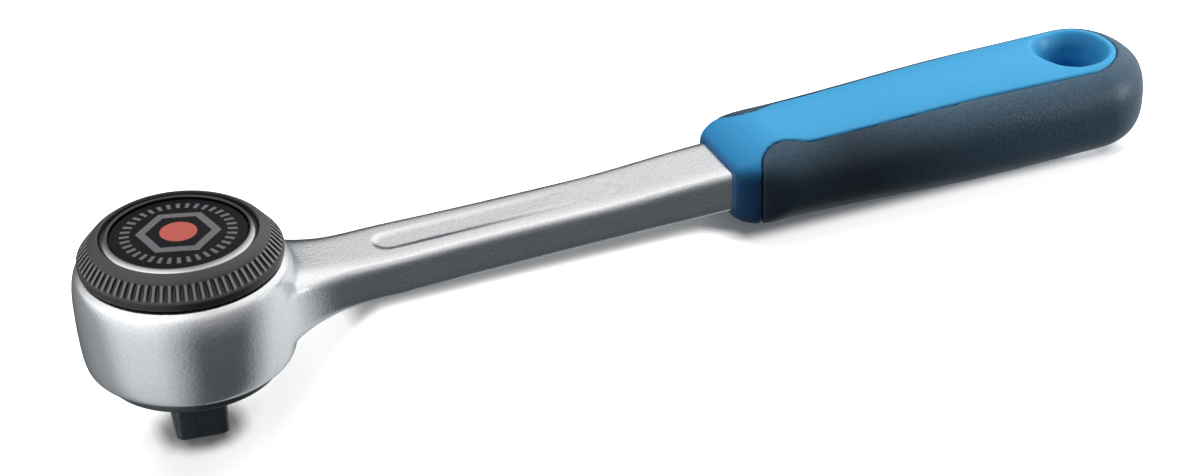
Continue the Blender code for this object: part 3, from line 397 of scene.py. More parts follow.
carrier = turned("carrier", [(radius * mm, height * mm) for radius, height in carrier_profile], 96)
combined(square, carrier, "UNION")
cut_slots(square, "pocket", pocket_outer, pocket_inner, pocket_half_turn, 24, ring_low, ring_high)
ball_hole_profile = [
    (ball_hole_radius, -1.525 * mm), (ball_hole_radius, 2.825 * mm), (ball_hole_mouth, 3.3 * mm)]
ball_hole = turned("ball_hole", ball_hole_profile, 32)
ball_hole.data.transform(Matrix.Translation((0, 0, ball_height)) @ Matrix.Rotation(-math.pi / 2, 4, "X"))
combined(square, ball_hole, "DIFFERENCE")
bpy.ops.object.select_all(action="DESELECT")
square.select_set(True)
start_piece("square_drive")
bpy.ops.mesh.remove_doubles(threshold=0.004 * mm)
bpy.ops.mesh.fill_holes(sides=6)
close_piece()
square.data.transform(Matrix.Rotation(drive_turn, 4, "Z"))
square.data.shade_smooth()
square.data.set_sharp_from_angle(angle=math.radians(30))
black_steel, tree, shader = grained_finish(
    "black_steel", (0.06, 0.067, 0.073), (0.094, 0.102, 0.11), (0.32, 0.46), 0.85, 3600.0, 300.0, 0.008 * mm)
fixed(square, black_steel, "drive", "dark_steel", "drive_body")


# Socket ball: a hard polished ball in the side of the square, staked in its hole and pushed out by a coil.
# It is turned like the other round pieces, and only a small cap of it stands out of the square.
ball_radius, ball_middle = 1.2 * mm, 2.575 * mm
ball_profile = []
for turn in along(-86, 86, 22):
    angle = math.radians(turn)
    ball_profile.append((ball_radius * math.cos(angle), ball_radius * math.sin(angle)))
ball = turned("socket_ball_polished", ball_profile, 40)
ball.data.transform(Matrix.Rotation(drive_turn, 4, "Z") @ Matrix.Translation((0, ball_middle, ball_height)))
ball.data.shade_smooth()
bright_chrome, tree, shader = grained_finish(
    "bright_chrome", (0.83, 0.84, 0.85), (0.88, 0.885, 0.89), (0.06, 0.11), 1.0, 2500.0, 260.0, 0.0006 * mm)
fixed(ball, bright_chrome, "ball", "bright_chrome", "socket_ball")


# Inner works: two rocker pawls on their pins, cover plate, core, plungers and screw in ground steel.
# They stay as the solids have them, and only their ground and oiled surfaces are made here.
def ground_finish(name, first, second, roughness, lines):
    """Ground steel: fine lines along the cut, uneven oil over them."""
    material, tree, shader = finish_start(name, first, roughness[0], 1.0)
    place = tree.nodes.new("ShaderNodeTexCoord")
    mapping = tree.nodes.new("ShaderNodeMapping")
    mapping.inputs["Scale"].default_value = (1.0, 14.0, 14.0)
    noise = tree.nodes.new("ShaderNodeTexNoise")
    noise.inputs["Scale"].default_value = lines
    noise.inputs["Detail"].default_value = 4.0
    tree.links.new(place.outputs["Object"], mapping.inputs["Vector"])
    tree.links.new(mapping.outputs["Vector"], noise.inputs["Vector"])
    tree.links.new(two_tone(tree, noise.outputs["Fac"], first, second), shader.inputs["Base Color"])
    tree.links.new(spread(tree, noise.outputs["Fac"], *roughness), shader.inputs["Roughness"])
    raised(tree, shader, noise.outputs["Fac"], 0.003 * mm)
    return material


ground_steel = ground_finish("ground_steel", (0.36, 0.36, 0.37), (0.5, 0.5, 0.51), (0.25, 0.42), 700.0)
spring_steel = ground_finish("spring_wire", (0.48, 0.48, 0.5), (0.62, 0.62, 0.63), (0.2, 0.35), 1500.0)
inner_finishes = {
    "pawl_front": ground_steel, "pawl_rear": ground_steel, "pawl_pin_front": ground_steel,
    "pawl_pin_rear": ground_steel, "cover_plate": ground_steel, "selector_core": ground_steel,
    "plunger_front": ground_steel, "plunger_rear": ground_steel, "selector_screw": ground_steel,
    "retaining_clip": spring_steel, "screw_washer": spring_steel,
}
for node, material in inner_finishes.items():
    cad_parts[node].data.materials.clear()
    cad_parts[node].data.materials.append(material)


# Springs: a coil of spring wire behind the ball, and one between the two plungers, wound and cut to length.
# The one between the plungers gives way from both ends, so it is drawn as two halves that meet in its middle.
wire = 0.15 * mm
selector_rest = math.radians(12.5)


def coil(name, radius, first, last, turns):
    """A spring along +Z: a ring of wire screwed upwards from the first height to the last, its ends closed."""
    bpy.ops.object.select_all(action="DESELECT")
    bpy.ops.mesh.primitive_circle_add(
        vertices=12, radius=wire, location=(radius, 0, first), rotation=(math.pi / 2, 0, 0))
    piece = start_piece(name)
    bpy.ops.object.mode_set(mode="OBJECT")
    worked(piece, "SCREW", iterations=turns, screw_offset=(last - first) / turns, steps=24, render_steps=24)
    bpy.ops.object.mode_set(mode="EDIT")
    bpy.ops.mesh.select_all(action="SELECT")
    bpy.ops.mesh.fill_holes(sides=0)
    close_piece()
    piece.data.shade_smooth()
    piece.data.set_sharp_from_angle(angle=math.radians(50))
    return piece


ball_coil = coil("ball_coil", 0.9 * mm, -1.125 * mm, 0.975 * mm, 3)
ball_coil.data.transform(Matrix.Rotation(drive_turn, 4, "Z") @ Matrix.Translation((0, 0, ball_height))
                         @ Matrix.Rotation(-math.pi / 2, 4, "X"))
fixed(ball_coil, spring_steel, "drive", "spring_steel", "socket_ball_spring")
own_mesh(ball_coil)
plunger_height = Vector((0, 0, 15.85 * mm))
for end, flip in (("front", 0.0), ("rear", math.pi)):
    half_coil = coil(end + "_coil", 0.85 * mm, 0.0, 1.7 * mm, 2)
    half_coil.data.transform(Matrix.Translation(plunger_height) @ Matrix.Rotation(selector_rest, 4, "Z")
                             @ Matrix.Rotation(math.pi / 2, 4, "Y") @ Matrix.Rotation(flip, 4, "X"))
    fixed(half_coil, spring_steel, "selector", "spring_steel", "plunger_spring")
    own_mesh(half_coil)


# Selector knob: a moulded knob in dark plastic, with a plain band below and a ring of flutes on its cone.
# It is keyed to the steel core, and two slots in its web run over the ends of the pawl pins.
flutes, hollow_share = 76, 0.66
slot_outer, slot_inner, slot_half_turn = 8.3 * mm, 6.1 * mm, 28
knob_profile = [
    (2.45, 22.4), (10.3, 22.4), (10.35, 22.45), (10.35, 23.62), (11.6, 23.64), (11.88, 23.7), (11.95, 23.85),
    (11.95, 24.3), (11.95, 24.55), (11.88, 24.68), (10.42, 26.4), (10.3, 26.55), (10.05, 26.74), (9.6, 27.07),
    (9.38, 27.19), (9.28, 27.17), (9.23, 27.05), (9.22, 26.1), (9.22, 25.95), (9.0, 25.95), (3.0, 25.95),
    (2.95, 25.9), (2.95, 24.1), (2.45, 24.05), (2.45, 22.4)]
knob_points = [(radius * mm, height * mm) for radius, height in knob_profile]
knob = turned("fluted_knob", knob_points, 2 * flutes, "NOTHING")
pitch = 2 * math.pi / flutes
bpy.ops.object.mode_set(mode="EDIT")
bpy.ops.mesh.select_mode(type="VERT")
bpy.ops.mesh.select_all(action="DESELECT")
shape = bmesh.from_edit_mesh(knob.data)
for corner in shape.verts:
    corner.select = round(math.atan2(corner.co.y, corner.co.x) / (pitch / 2)) % 2 == 1
shape.select_flush(True)
bmesh.ops.rotate(shape, verts=[corner for corner in shape.verts if corner.select],
                 matrix=Matrix.Rotation(0.16 * pitch, 3, "Z"))
bmesh.update_edit_mesh(knob.data)
bpy.ops.mesh.select_mode(type="FACE")
bpy.ops.mesh.select_all(action="DESELECT")
shape = bmesh.from_edit_mesh(knob.data)
for face in shape.faces:
    middle = face.calc_center_median()
    column = math.atan2(middle.y, middle.x) / pitch % 1
    face.select = 25.2 * mm < middle.z < 26.2 * mm and middle.xy.length > 10.6 * mm and column < hollow_share
bmesh.update_edit_mesh(knob.data)
bpy.ops.mesh.inset(thickness=0.03 * mm, depth=0.0, use_individual=True)
bpy.ops.mesh.inset(thickness=0.05 * mm, depth=-0.34 * mm, use_individual=True)
bpy.ops.object.mode_set(mode="OBJECT")
worked(knob, "SUBSURF", levels=2, render_levels=2)
cut_slots(knob, "pin_slot", slot_outer, slot_inner, slot_half_turn, 16, 22.1 * mm, 23.95 * mm)
knob.data.transform(Matrix.Rotation(selector_rest, 4, "Z"))
knob.data.shade_smooth()
knob.data.set_sharp_from_angle(angle=math.radians(40))


def sum_of(tree, kind, first, second=0.5, third=None):
    """One step of arithmetic between values or numbers."""
    node = tree.nodes.new("ShaderNodeMath")
    node.operation = kind
    for socket, value in zip(node.inputs, (first, second, third)):
        if isinstance(value, bpy.types.NodeSocket):
            tree.links.new(value, socket)
        elif value is not None:
            socket.default_value = value
    return node.outputs["Value"]


def within(tree, value, low, high, soft):
    """1 where a value lies between two limits, with soft ends."""
    rise = sum_of(tree, "DIVIDE", sum_of(tree, "SUBTRACT", value, low), soft)
    fall = sum_of(tree, "DIVIDE", sum_of(tree, "SUBTRACT", high, value), soft)
    both = sum_of(tree, "MINIMUM", rise, fall)
    return sum_of(tree, "MINIMUM", sum_of(tree, "MAXIMUM", both, 0.0), 1.0)


def position(tree, kind="Object"):
    """The X, Y and Z of a place on a surface, each as a value."""
    place = tree.nodes.new("ShaderNodeTexCoord")
    split = tree.nodes.new("ShaderNodeSeparateXYZ")
    tree.links.new(place.outputs[kind], split.inputs["Vector"])
    return split.outputs["X"], split.outputs["Y"], split.outputs["Z"]


def tinted(tree, colour, share, tint):
    """A colour that turns into a tint by a share."""
    node = tree.nodes.new("ShaderNodeMix")
    node.data_type = "RGBA"
    node.inputs["B"].default_value = (*tint, 1.0)
    tree.links.new(colour, node.inputs["A"])
    tree.links.new(share, node.inputs["Factor"])
    return node.outputs["Result"]


knob_black, tree, shader = grained_finish(
    "knob_black", (0.040, 0.042, 0.044), (0.057, 0.059, 0.061), (0.32, 0.42), 0.0, 3800.0, 300.0, 0.012 * mm)
across, upward, height = position(tree)
heading = sum_of(tree, "ARCTAN2", upward, across)
column = sum_of(tree, "FRACT", sum_of(tree, "MULTIPLY_ADD", heading, 1 / pitch, flutes - selector_rest / pitch))
fluted = within(tree, height, 24.75 * mm, 26.35 * mm, 0.15 * mm)
# Painted highlight on the rib tops between the flutes, and painted shade in the flutes' hollows.
painted_rib_highlight = sum_of(tree, "MULTIPLY", within(tree, column, hollow_share, 1.0, 0.05), fluted)
painted_hollow_shade = sum_of(tree, "MULTIPLY", within(tree, column, 0.06, 0.6, 0.05), fluted)
tone_and_painted_light = shader.inputs["Base Color"].links[0].from_socket
tone_and_painted_light = tinted(tree, tinted(tree, tone_and_painted_light, painted_hollow_shade, (0.018, 0.019, 0.02)), painted_rib_highlight, (0.35, 0.355, 0.36))
tree.links.new(tone_and_painted_light, shader.inputs["Base Color"])
fixed(knob, knob_black, "selector", "knob_black", "selector_knob")


# Trim ring: a thin ring of brass, turned, polished and chromed, pressed into the knob's recess.
# Its crest is close to the disc, and its flank slopes outwards from there to the knob's rim.
trim_profile = [(8.1, 26.2), (9.08, 26.2), (9.08, 26.78), (9.05, 26.84)]
for turn in along(40, 180, 10):
    angle = math.radians(turn)
    trim_profile.append((8.31 + 0.21 * math.cos(angle), 26.99 + 0.21 * math.sin(angle)))
trim_profile.append(trim_profile[0])
trim = turned("bright_trim", [(radius * mm, height * mm) for radius, height in trim_profile], 128, "NOTHING")
trim.data.shade_smooth()
trim.data.set_sharp_from_angle(angle=math.radians(40))
trim_chrome, tree, shader = grained_finish(
    "trim_chrome", (0.66, 0.665, 0.67), (0.70, 0.705, 0.71), (0.14, 0.2), 1.0, 2500.0, 260.0, 0.0006 * mm)
place = tree.nodes.new("ShaderNodeTexCoord")
flat_place = tree.nodes.new("ShaderNodeVectorMath")
flat_place.operation = "MULTIPLY"
flat_place.inputs[1].default_value = (1, 1, 0)
tree.links.new(place.outputs["Object"], flat_place.inputs[0])
reach = tree.nodes.new("ShaderNodeVectorMath")
reach.operation = "LENGTH"
tree.links.new(flat_place.outputs["Vector"], reach.inputs[0])
# The ring is darkened from its outer edge in towards the disc: painted shade and dark reflection.
painted_inner_shade = within(tree, reach.outputs["Value"], 0.0, 8.95 * mm, 0.75 * mm)
tone_and_painted_light = shader.inputs["Base Color"].links[0].from_socket
tree.links.new(tinted(tree, tone_and_painted_light, painted_inner_shade, (0.05, 0.05, 0.055)), shader.inputs["Base Color"])
fixed(trim, trim_chrome, "selector", "bright_chrome", "trim_ring")


# Disc: a low dome of glossy black plastic pressed inside the ring, printed before its clear lacquer.
# The print is a plain one: a ring of short strokes, a nut in outline and a small round mark.
stroke_count, stroke_inner, stroke_outer = 36, 5.6 * mm, 6.8 * mm
nut_inner, nut_outer, mark_radius, ink_edge = 3.3 * mm, 4.3 * mm, 2.2 * mm, 0.05 * mm
lacquer, pale_ink, red_ink = (0.006, 0.006, 0.008), (0.15, 0.15, 0.16), (0.5, 0.11, 0.09)
disc_profile = [(7.95, 26.2), (7.95, 26.8), (7.9, 26.85)]
for share in along(1, 0.04, 14)[1:]:
    disc_profile.append((7.9 * share, 26.85 + 0.3 * (1 - share ** 2)))
disc = turned("printed_disc", [(radius * mm, height * mm) for radius, height in disc_profile], 96)
disc.data.transform(Matrix.Rotation(selector_rest, 4, "Z"))
disc.data.shade_smooth()
disc.data.set_sharp_from_angle(angle=math.radians(40))
disc_black, tree, shader = finish_start("disc_black", lacquer, 0.16, 0.0)
shader.inputs["Specular IOR Level"].default_value = 0.05
across, upward, height = position(tree)
reach = sum_of(tree, "SQRT", sum_of(tree, "ADD", sum_of(tree, "MULTIPLY", across, across),
                                    sum_of(tree, "MULTIPLY", upward, upward)))
heading = sum_of(tree, "ARCTAN2", upward, across)
counted = sum_of(tree, "MULTIPLY", heading, stroke_count / (2 * math.pi))
stroke = sum_of(tree, "FRACT", sum_of(tree, "ADD", counted, 40.0))
strokes = sum_of(tree, "MULTIPLY", within(tree, stroke, 0.25, 0.75, 0.08),
                 within(tree, reach, stroke_inner, stroke_outer, ink_edge))
flats = None
for turn in (0, 60, 120):
    angle = math.radians(turn) + selector_rest
    flat = sum_of(tree, "ABSOLUTE", sum_of(tree, "ADD", sum_of(tree, "MULTIPLY", across, math.cos(angle)),
                                           sum_of(tree, "MULTIPLY", upward, math.sin(angle))))
    flats = flat if flats is None else sum_of(tree, "MAXIMUM", flats, flat)
nut = within(tree, flats, nut_inner, nut_outer, ink_edge)
print_mask = sum_of(tree, "MAXIMUM", strokes, nut)
mark = within(tree, reach, -mm, mark_radius, ink_edge)
ink = two_tone(tree, print_mask, lacquer, pale_ink)
tree.links.new(tinted(tree, ink, mark, red_ink), shader.inputs["Base Color"])
fixed(disc, disc_black, "selector", "disc_black", "emblem_disc")


# Handle core: hard blue plastic moulded round the tang, with a collar at the front, a strip above and below,
# and a flared hole through its rear end to hang it by. The sides are stepped in where the grip goes.
handle_front, handle_end, shoulder, round_end = 68.4 * mm, 128.7 * mm, 6.5 * mm, 8.6 * mm
shoulder_end, round_start, handle_belly = 74.9 * mm, 120.1 * mm, 106.5 * mm
grip_wall, collar_wall, collar_half_height = 1.9 * mm, 0.65 * mm, 3.4 * mm
front_middle, shoulder_middle, end_middle = 17.8 * mm, 18.15 * mm, 18.7 * mm
handle_half_widths, handle_half_heights = (8.8 * mm, 9.5 * mm), (5.75 * mm, 6.75 * mm)
collar_squareness, handle_squareness, shoulder_roundness = 7.0, 2.55, 1.5
hole_front, hole_rear, hole_radius = 118.8, 119.6, 3.5


def handle_middle(x):
    """Height of the handle's middle at one place along +X."""
    if x < shoulder_end:
        return blended(front_middle, shoulder_middle, (x - handle_front) / shoulder)
    return blended(shoulder_middle, end_middle, ((x - shoulder_end) / (handle_end - shoulder_end)) ** 2)


def handle_section(x, inset):
    """The handle's outer form at one place along +X, drawn in by an inset."""
    swell = eased((x - shoulder_end) / (handle_belly - shoulder_end))
    half_width = blended(*handle_half_widths, swell) - inset
    half_height = blended(*handle_half_heights, swell) - inset
    squareness = handle_squareness
    if x < shoulder_end:
        share = max(0.0, 1 - ((shoulder_end - x) / shoulder) ** shoulder_roundness) ** (1 / shoulder_roundness)
        half_width = blended(collar_half + collar_wall - inset, half_width, share)
        half_height = blended(collar_half_height - inset, half_height, share)
        squareness = blended(collar_squareness, squareness, share)
    if x > round_start:
        share = math.sqrt(max(0.0, 1 - ((x - round_start) / round_end) ** 2))
        half_width *= share
        half_height *= share ** 0.6
    shift = inset * min(max((x - round_start) / round_end, 0.0), 1.0)
    return [(x - shift, y, handle_middle(x) + z) for y, z in section(half_width, half_height, squareness, 96)]


def handle_form(name, inset):
    """The whole outer form of the handle, drawn in by an inset."""
    places = [shoulder_end - shoulder * math.cos(turn) for turn in along(0, math.pi / 2, 16)]
    places += along(shoulder_end, round_start, 24)[1:]
    places += [round_start + round_end * math.sin(turn) for turn in along(0, math.radians(84), 20)[1:]]
    return drawn(name, [handle_section(x, inset) for x in places])


def grip_plan(name, gap):
    """A block over the plan of the grip: both sides and the end, outside the strip, grown by a gap."""
    front, corner, horn, horn_length = 71.0 * mm - gap, 4.2 * mm, 1.2 * mm, 3.8 * mm
    strip_front, strip_rear = 5.35 * mm - gap, 6.2 * mm - gap
    edge = []
    for turn in along(180, 270, 12):
        angle = math.radians(turn)
        edge.append((front + corner + corner * math.cos(angle),
                     strip_front - horn + corner + corner * math.sin(angle)))
    for share in along(0, 1, 10)[1:]:
        edge.append((front + corner + horn_length * share, strip_front - horn * (1 - eased(share))))
    outline = [(front, -20 * mm), (138 * mm, -20 * mm), (138 * mm, 20 * mm), (front, 20 * mm)] + edge
    for turn in along(90, -90, 32):
        angle = math.radians(turn)
        outline.append((118.8 * mm + strip_rear * math.cos(angle), strip_rear * math.sin(angle)))
    outline += [(x, -y) for x, y in reversed(edge)]
    return drawn(name, [[(x, y, level) for x, y in outline] for level in (5 * mm, 32 * mm)])


seam = 0.05 * mm
skin = 0.25 * mm
core = handle_form("handle_core_moulding", 0.0)
grip_space = grip_plan("grip_space", seam)
combined(grip_space, handle_form("step", grip_wall + seam), "DIFFERENCE")
combined(core, grip_space, "DIFFERENCE")
upper_flares = [(2.5, 0), (4.6, 0.36), (5.5, 0.62), (6.2, 0.9), (6.75, 1.2), (12, 1.7)]
lower_flares = [(-level, flare) for level, flare in reversed(upper_flares)]
hole_rings = []
hole_middle = handle_middle(119.2 * mm)
for level, flare in lower_flares + upper_flares:
    ring = []
    for middle, first, last in ((hole_rear, -90, 90), (hole_front, 90, 270)):
        for turn in along(first, last, 24):
            angle = math.radians(turn)
            spread_out = 1 + 0.6 * math.sin(angle) ** 2 - 0.4 * min(math.cos(angle), 0.0)
            reach = (hole_radius + flare * spread_out) * mm
            ring.append((middle * mm + reach * math.cos(angle), reach * math.sin(angle), hole_middle + level * mm))
    hole_rings.append(ring)
combined(core, drawn("hanging_hole", hole_rings), "DIFFERENCE")
strip_slant = math.atan2(0.85, 39.8)
relaxed(core, skin, 6, strip_slant)
combined(core, drawn("mouth", [shank_section(x, seam) for x in along(62 * mm, shank_end + seam, 6)]), "DIFFERENCE")
combined(core, tang_bar("tang_room", 3.25 * mm, 1.95 * mm, 69 * mm, tang_end + seam), "DIFFERENCE")
core.data.shade_smooth()
core.data.set_sharp_from_angle(angle=math.radians(40))
core_blue, tree, shader = grained_finish(
    "core_blue", (0.048, 0.34, 0.635), (0.058, 0.36, 0.66), (0.34, 0.42), 0.0, 2600.0, 160.0, 0.006 * mm)
shader.inputs["Specular IOR Level"].default_value = 0.25
along_x, across_y, height = position(tree)
# The collar's lower flank is painted a darker blue: painted shade.
flank = sum_of(tree, "MULTIPLY", within(tree, along_x, 60 * mm, 76 * mm, 4 * mm),
               within(tree, height, 0.0, 24.5 * mm, 5 * mm))
tone_and_painted_light = shader.inputs["Base Color"].links[0].from_socket
shaded_blue = tinted(tree, tone_and_painted_light, sum_of(tree, "MULTIPLY", flank, 0.9), (0.0, 0.11, 0.36))
tree.links.new(shaded_blue, shader.inputs["Base Color"])
fixed(core, core_blue, "housing", "core_blue", "handle_core")


# Grip: soft dark rubber moulded over both sides and round the end of the core, flush with its strips.
# Its mould is etched, which leaves a fine pebble over the whole skin.
grip = handle_form("soft_grip", 0.0)
combined(grip, grip_plan("grip_room", 0.0), "INTERSECT")
combined(grip, handle_form("core_room", grip_wall), "DIFFERENCE")
relaxed(grip, skin, 6, strip_slant)
grip.data.shade_smooth()
grip.data.set_sharp_from_angle(angle=math.radians(60))
grip_dark, tree, shader = finish_start("grip_dark", (0.014, 0.032, 0.055), 0.5, 0.0)
shader.inputs["Specular IOR Level"].default_value = 0.25
place = tree.nodes.new("ShaderNodeTexCoord")
pebbles = tree.nodes.new("ShaderNodeTexVoronoi")
pebbles.feature = "SMOOTH_F1"
pebbles.inputs["Scale"].default_value = 2600.0
pebbles.inputs["Smoothness"].default_value = 0.35
tree.links.new(place.outputs["Object"], pebbles.inputs["Vector"])
grain = tree.nodes.new("ShaderNodeGroup")
grain.node_tree = skin_grain
grain.inputs["Grains"].default_value = 5200.0
grain.inputs["Patches"].default_value = 120.0
crowns = sum_of(tree, "SUBTRACT", 1.0, pebbles.outputs["Distance"])
tree.links.new(spread(tree, grain.outputs["Patch"], 0.38, 0.48), shader.inputs["Roughness"])
along_x, across_y, height = position(tree)
# Painted light and shade along the grip: darkest about 83 mm along +X, lighter in front of that and lightest
# towards the end.
painted_light_along_grip = sum_of(tree, "MULTIPLY_ADD", within(tree, along_x, 0.0, 83 * mm, 7 * mm), 0.55, 0.52)
painted_light_along_grip = sum_of(tree, "ADD", painted_light_along_grip, within(tree, along_x, 84 * mm, 300 * mm, 14 * mm))
tone_and_painted_light = tree.nodes.new("ShaderNodeVectorMath")
tone_and_painted_light.operation = "SCALE"
# The pebble crowns are painted a lighter tone than the hollows between them: a painted highlight.
tree.links.new(two_tone(tree, crowns, (0.026, 0.050, 0.076), (0.046, 0.080, 0.114)), tone_and_painted_light.inputs[0])
tree.links.new(painted_light_along_grip, tone_and_painted_light.inputs["Scale"])
tree.links.new(tone_and_painted_light.outputs["Vector"], shader.inputs["Base Color"])
worn = sum_of(tree, "MAXIMUM", within(tree, along_x, 100 * mm, 117 * mm, 5 * mm),
              within(tree, along_x, 77 * mm, 84 * mm, 2 * mm))
crisp = sum_of(tree, "MULTIPLY", crowns, sum_of(tree, "MULTIPLY_ADD", worn, 0.65, 0.35))
fine_grain = sum_of(tree, "MULTIPLY", grain.outputs["Height"], 0.2)
raised(tree, shader, sum_of(tree, "ADD", crisp, fine_grain), 0.04 * mm)
fixed(grip, grip_dark, "housing", "grip_dark", "grip_overmould")


# Studio: the tool lies on a pale sheet that dips under its head, with a large soft lamp above and a small side lamp
# by the handle's end. The room is white above, with light and dark walls low down that show in reflections.
scene = bpy.context.scene
scene.view_settings.view_transform = "Standard"
lens = bpy.data.cameras.new("camera")
lens.lens, lens.sensor_width, lens.sensor_fit = 83.75, 36.0, "HORIZONTAL"
lens.shift_x, lens.shift_y = -0.04736, 0.00163
lens.clip_start = 0.01
camera = bpy.data.objects.new("camera", lens)
scene.collection.objects.link(camera)
heading, height, roll = math.radians(-23.5368), math.radians(31.0172), math.radians(-0.7879)
back = Vector((math.sin(heading) * math.cos(height), -math.cos(heading) * math.cos(height), math.sin(height)))
level = Vector((math.cos(heading), math.sin(heading), 0))
upright = back.cross(level)
right = math.cos(roll) * level + math.sin(roll) * upright
top = math.cos(roll) * upright - math.sin(roll) * level
facing = Matrix((right, top, back)).transposed().to_4x4()
camera_aim, camera_distance = Vector((0.060, 0, 0.0107)), 0.350
camera.matrix_world = Matrix.Translation(camera_aim + back * camera_distance) @ facing
scene.camera = camera

sheet_size, sheet_low, sheet_high, sheet_rear = 0.6, -0.1 * mm, 13.7 * mm, 11.4 * mm
glow_near, glow_far, glow_width = 0.08, 0.85, 3.4 * mm


def sheet_height(x):
    """Height of the sheet, which hangs just under the shank and the handle and dips under the head."""
    under_shank = blended(sheet_low, sheet_high, eased((x - 3 * mm) / (20 * mm)))
    return blended(under_shank, sheet_rear, eased((x - 63 * mm) / (8 * mm)))


def clear_of_tool(x, y):
    """How far a place on the sheet lies outside the tool's foot."""
    square_foot = math.hypot(x, y) - 3.4 * mm
    shank_foot = max(abs(y) - 2.9 * mm, x - 70 * mm, 21 * mm - x)
    handle_foot = max(abs(y) - 4.0 * mm, x - 122 * mm, 70 * mm - x)
    return min(square_foot, shank_foot, handle_foot)


bpy.ops.object.select_all(action="DESELECT")
bpy.ops.mesh.primitive_grid_add(x_subdivisions=300, y_subdivisions=200, size=sheet_size, location=(0.06, 0, 0))
sheet = start_piece("pale_sheet")
shape = bmesh.from_edit_mesh(sheet.data)
for corner in shape.verts:
    corner.co.y *= abs(corner.co.y) / (sheet_size / 2)
    corner.co.z = sheet_height(corner.co.x)
bmesh.update_edit_mesh(sheet.data)
bpy.ops.object.mode_set(mode="OBJECT")
# The sheet glows for camera rays, weakly at the tool's foot and fully further out: painted light that keeps the
# cast shadow close to the tool.
glow = sheet.data.attributes.new("glow", "FLOAT", "POINT")
for corner in sheet.data.vertices:
    fade = eased(clear_of_tool(corner.co.x, corner.co.y) / glow_width)
    glow.data[corner.index].value = blended(glow_near, glow_far, fade)
sheet.data.shade_smooth()
sheet.visible_glossy = False
pale_sheet, tree, shader = finish_start("pale_sheet", (0.8, 0.8, 0.8), 0.9, 0.0)
shader.inputs["Specular IOR Level"].default_value = 0.0
shader.inputs["Emission Color"].default_value = (1, 1, 1, 1)
rays = tree.nodes.new("ShaderNodeLightPath")
shade = sum_of(tree, "MULTIPLY_ADD", rays.outputs["Is Camera Ray"], 0.81, 0.04)
tree.links.new(shade, shader.inputs["Base Color"])
level_up = tree.nodes.new("ShaderNodeCombineXYZ")
level_up.inputs["Z"].default_value = 1.0
tree.links.new(level_up.outputs["Vector"], shader.inputs["Normal"])
held = tree.nodes.new("ShaderNodeAttribute")
held.attribute_name = "glow"
lit = sum_of(tree, "MULTIPLY", rays.outputs["Is Camera Ray"], held.outputs["Fac"])
tree.links.new(lit, shader.inputs["Emission Strength"])
sheet.data.materials.append(pale_sheet)


def hung(lamp, place, aim):
    """Hang a lamp at one place and point it at another."""
    stand = bpy.data.objects.new(lamp.name, lamp)
    scene.collection.objects.link(stand)
    turn = (Vector(aim) - Vector(place)).to_track_quat("-Z", "Y")
    stand.matrix_world = Matrix.Translation(Vector(place)) @ turn.to_matrix().to_4x4()
    return stand


soft_lamp = bpy.data.lights.new("soft_lamp", "AREA")
soft_lamp.shape, soft_lamp.size, soft_lamp.size_y, soft_lamp.energy = "RECTANGLE", 0.90, 0.22, 3.6
hung(soft_lamp, (0.10, 0.14, 0.45), (0.06, 0, 0.015)).visible_glossy = False
side_lamp = bpy.data.lights.new("side_lamp", "SPOT")
side_lamp.energy, side_lamp.spot_size, side_lamp.spot_blend = 0.38, math.radians(40), 1.0
side_lamp.shadow_soft_size = 0.03
hung(side_lamp, (0.19, -0.05, 0.037), (0.123, -0.002, 0.018))

room = bpy.data.worlds.new("room")
room.use_nodes = True
scene.world = room
tree = room.node_tree
backdrop = tree.nodes["Background"]
rays = tree.nodes.new("ShaderNodeLightPath")
along_x, across_y, height = position(tree, "Generated")
around = sum_of(tree, "ARCTAN2", across_y, along_x)
wave = sum_of(tree, "COSINE", sum_of(tree, "MULTIPLY_ADD", around, 2.0, math.radians(316)))


def lobe(tree, around, middle, sharpness):
    """1 towards one heading, falling to 0 on both sides of it."""
    facing = sum_of(tree, "COSINE", sum_of(tree, "SUBTRACT", around, math.radians(middle)))
    return sum_of(tree, "POWER", sum_of(tree, "MAXIMUM", facing, 0.0), sharpness)


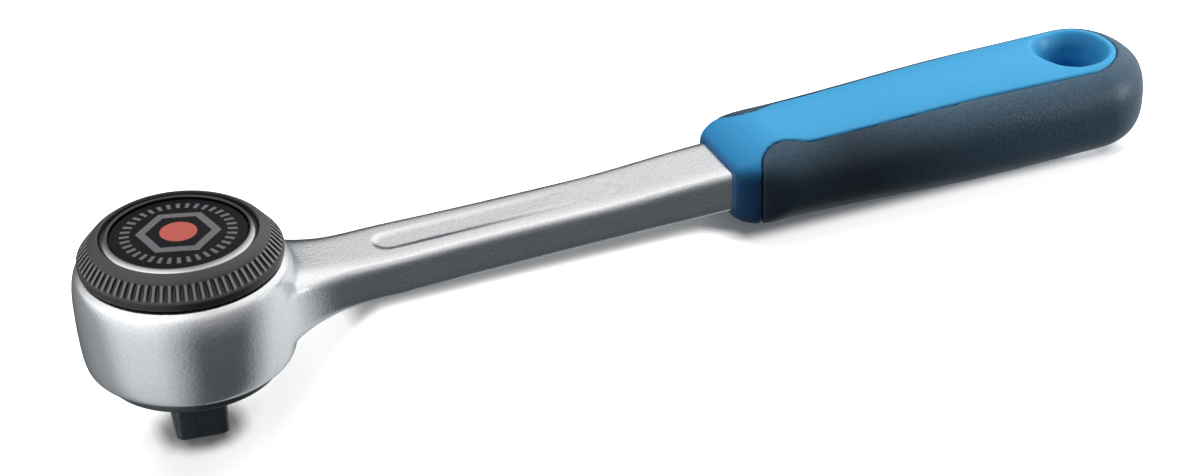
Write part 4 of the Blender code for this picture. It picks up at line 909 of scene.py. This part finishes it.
front_wall, left_wall = lobe(tree, around, -67, 1.5), lobe(tree, around, -150, 2.0)
rear_wall, dim_rear = lobe(tree, around, 78, 2.0), lobe(tree, around, 105, 6.0)
light_walls = sum_of(tree, "MULTIPLY_ADD", wave, 0.72, 0.42)
light_walls = sum_of(tree, "MULTIPLY_ADD", lobe(tree, around, 75, 4.0), -0.5, light_walls)
light_walls = sum_of(tree, "MULTIPLY_ADD", lobe(tree, around, -15, 3.0), 0.15, light_walls)
light_walls = sum_of(tree, "MAXIMUM", light_walls, sum_of(tree, "MULTIPLY", lobe(tree, around, 155, 2.5), 0.38))
low_down = tree.nodes.new("ShaderNodeMapRange")
low_down.inputs["From Min"].default_value = -0.95
low_down.inputs["From Max"].default_value = -0.5
low_down.inputs["To Min"].default_value = 0.5
tree.links.new(height, low_down.inputs["Value"])
wall_light = sum_of(tree, "MULTIPLY", sum_of(tree, "MINIMUM", light_walls, 1.0), low_down.outputs["Result"])
walls = two_tone(tree, wall_light, (0.088, 0.098, 0.108), (0.87, 0.915, 0.935))
above = tree.nodes.new("ShaderNodeMapRange")
tree.links.new(height, above.inputs["Value"])
starts = sum_of(tree, "MULTIPLY_ADD", rear_wall, 0.73, sum_of(tree, "MULTIPLY_ADD", front_wall, -0.1, -0.4))
stops = sum_of(tree, "MULTIPLY_ADD", rear_wall, 0.43, sum_of(tree, "MULTIPLY_ADD", front_wall, 1.05, 0.1))
tree.links.new(starts, above.inputs["From Min"])
tree.links.new(stops, above.inputs["From Max"])
ceiling = sum_of(tree, "MULTIPLY_ADD", left_wall, 0.3, sum_of(tree, "MULTIPLY_ADD", front_wall, -0.25, 1.32))
ceiling = sum_of(tree, "MULTIPLY", ceiling, sum_of(tree, "MULTIPLY_ADD", dim_rear, -0.6, 1.0))
room_light = tree.nodes.new("ShaderNodeMix")
room_light.data_type = "RGBA"
tree.links.new(walls, room_light.inputs["A"])
tree.links.new(ceiling, room_light.inputs["B"])
tree.links.new(above.outputs["Result"], room_light.inputs["Factor"])
shown = tree.nodes.new("ShaderNodeMix")
shown.data_type = "RGBA"
shown.inputs["B"].default_value = (1, 1, 1, 1)
tree.links.new(room_light.outputs["Result"], shown.inputs["A"])
tree.links.new(rays.outputs["Is Camera Ray"], shown.inputs["Factor"])
tree.links.new(shown.outputs["Result"], backdrop.inputs["Color"])
seen = sum_of(tree, "MAXIMUM", rays.outputs["Is Camera Ray"],
              sum_of(tree, "MAXIMUM", rays.outputs["Is Glossy Ray"], rays.outputs["Is Transmission Ray"]))
tree.links.new(sum_of(tree, "MULTIPLY_ADD", seen, 0.97, 0.03), backdrop.inputs["Strength"])
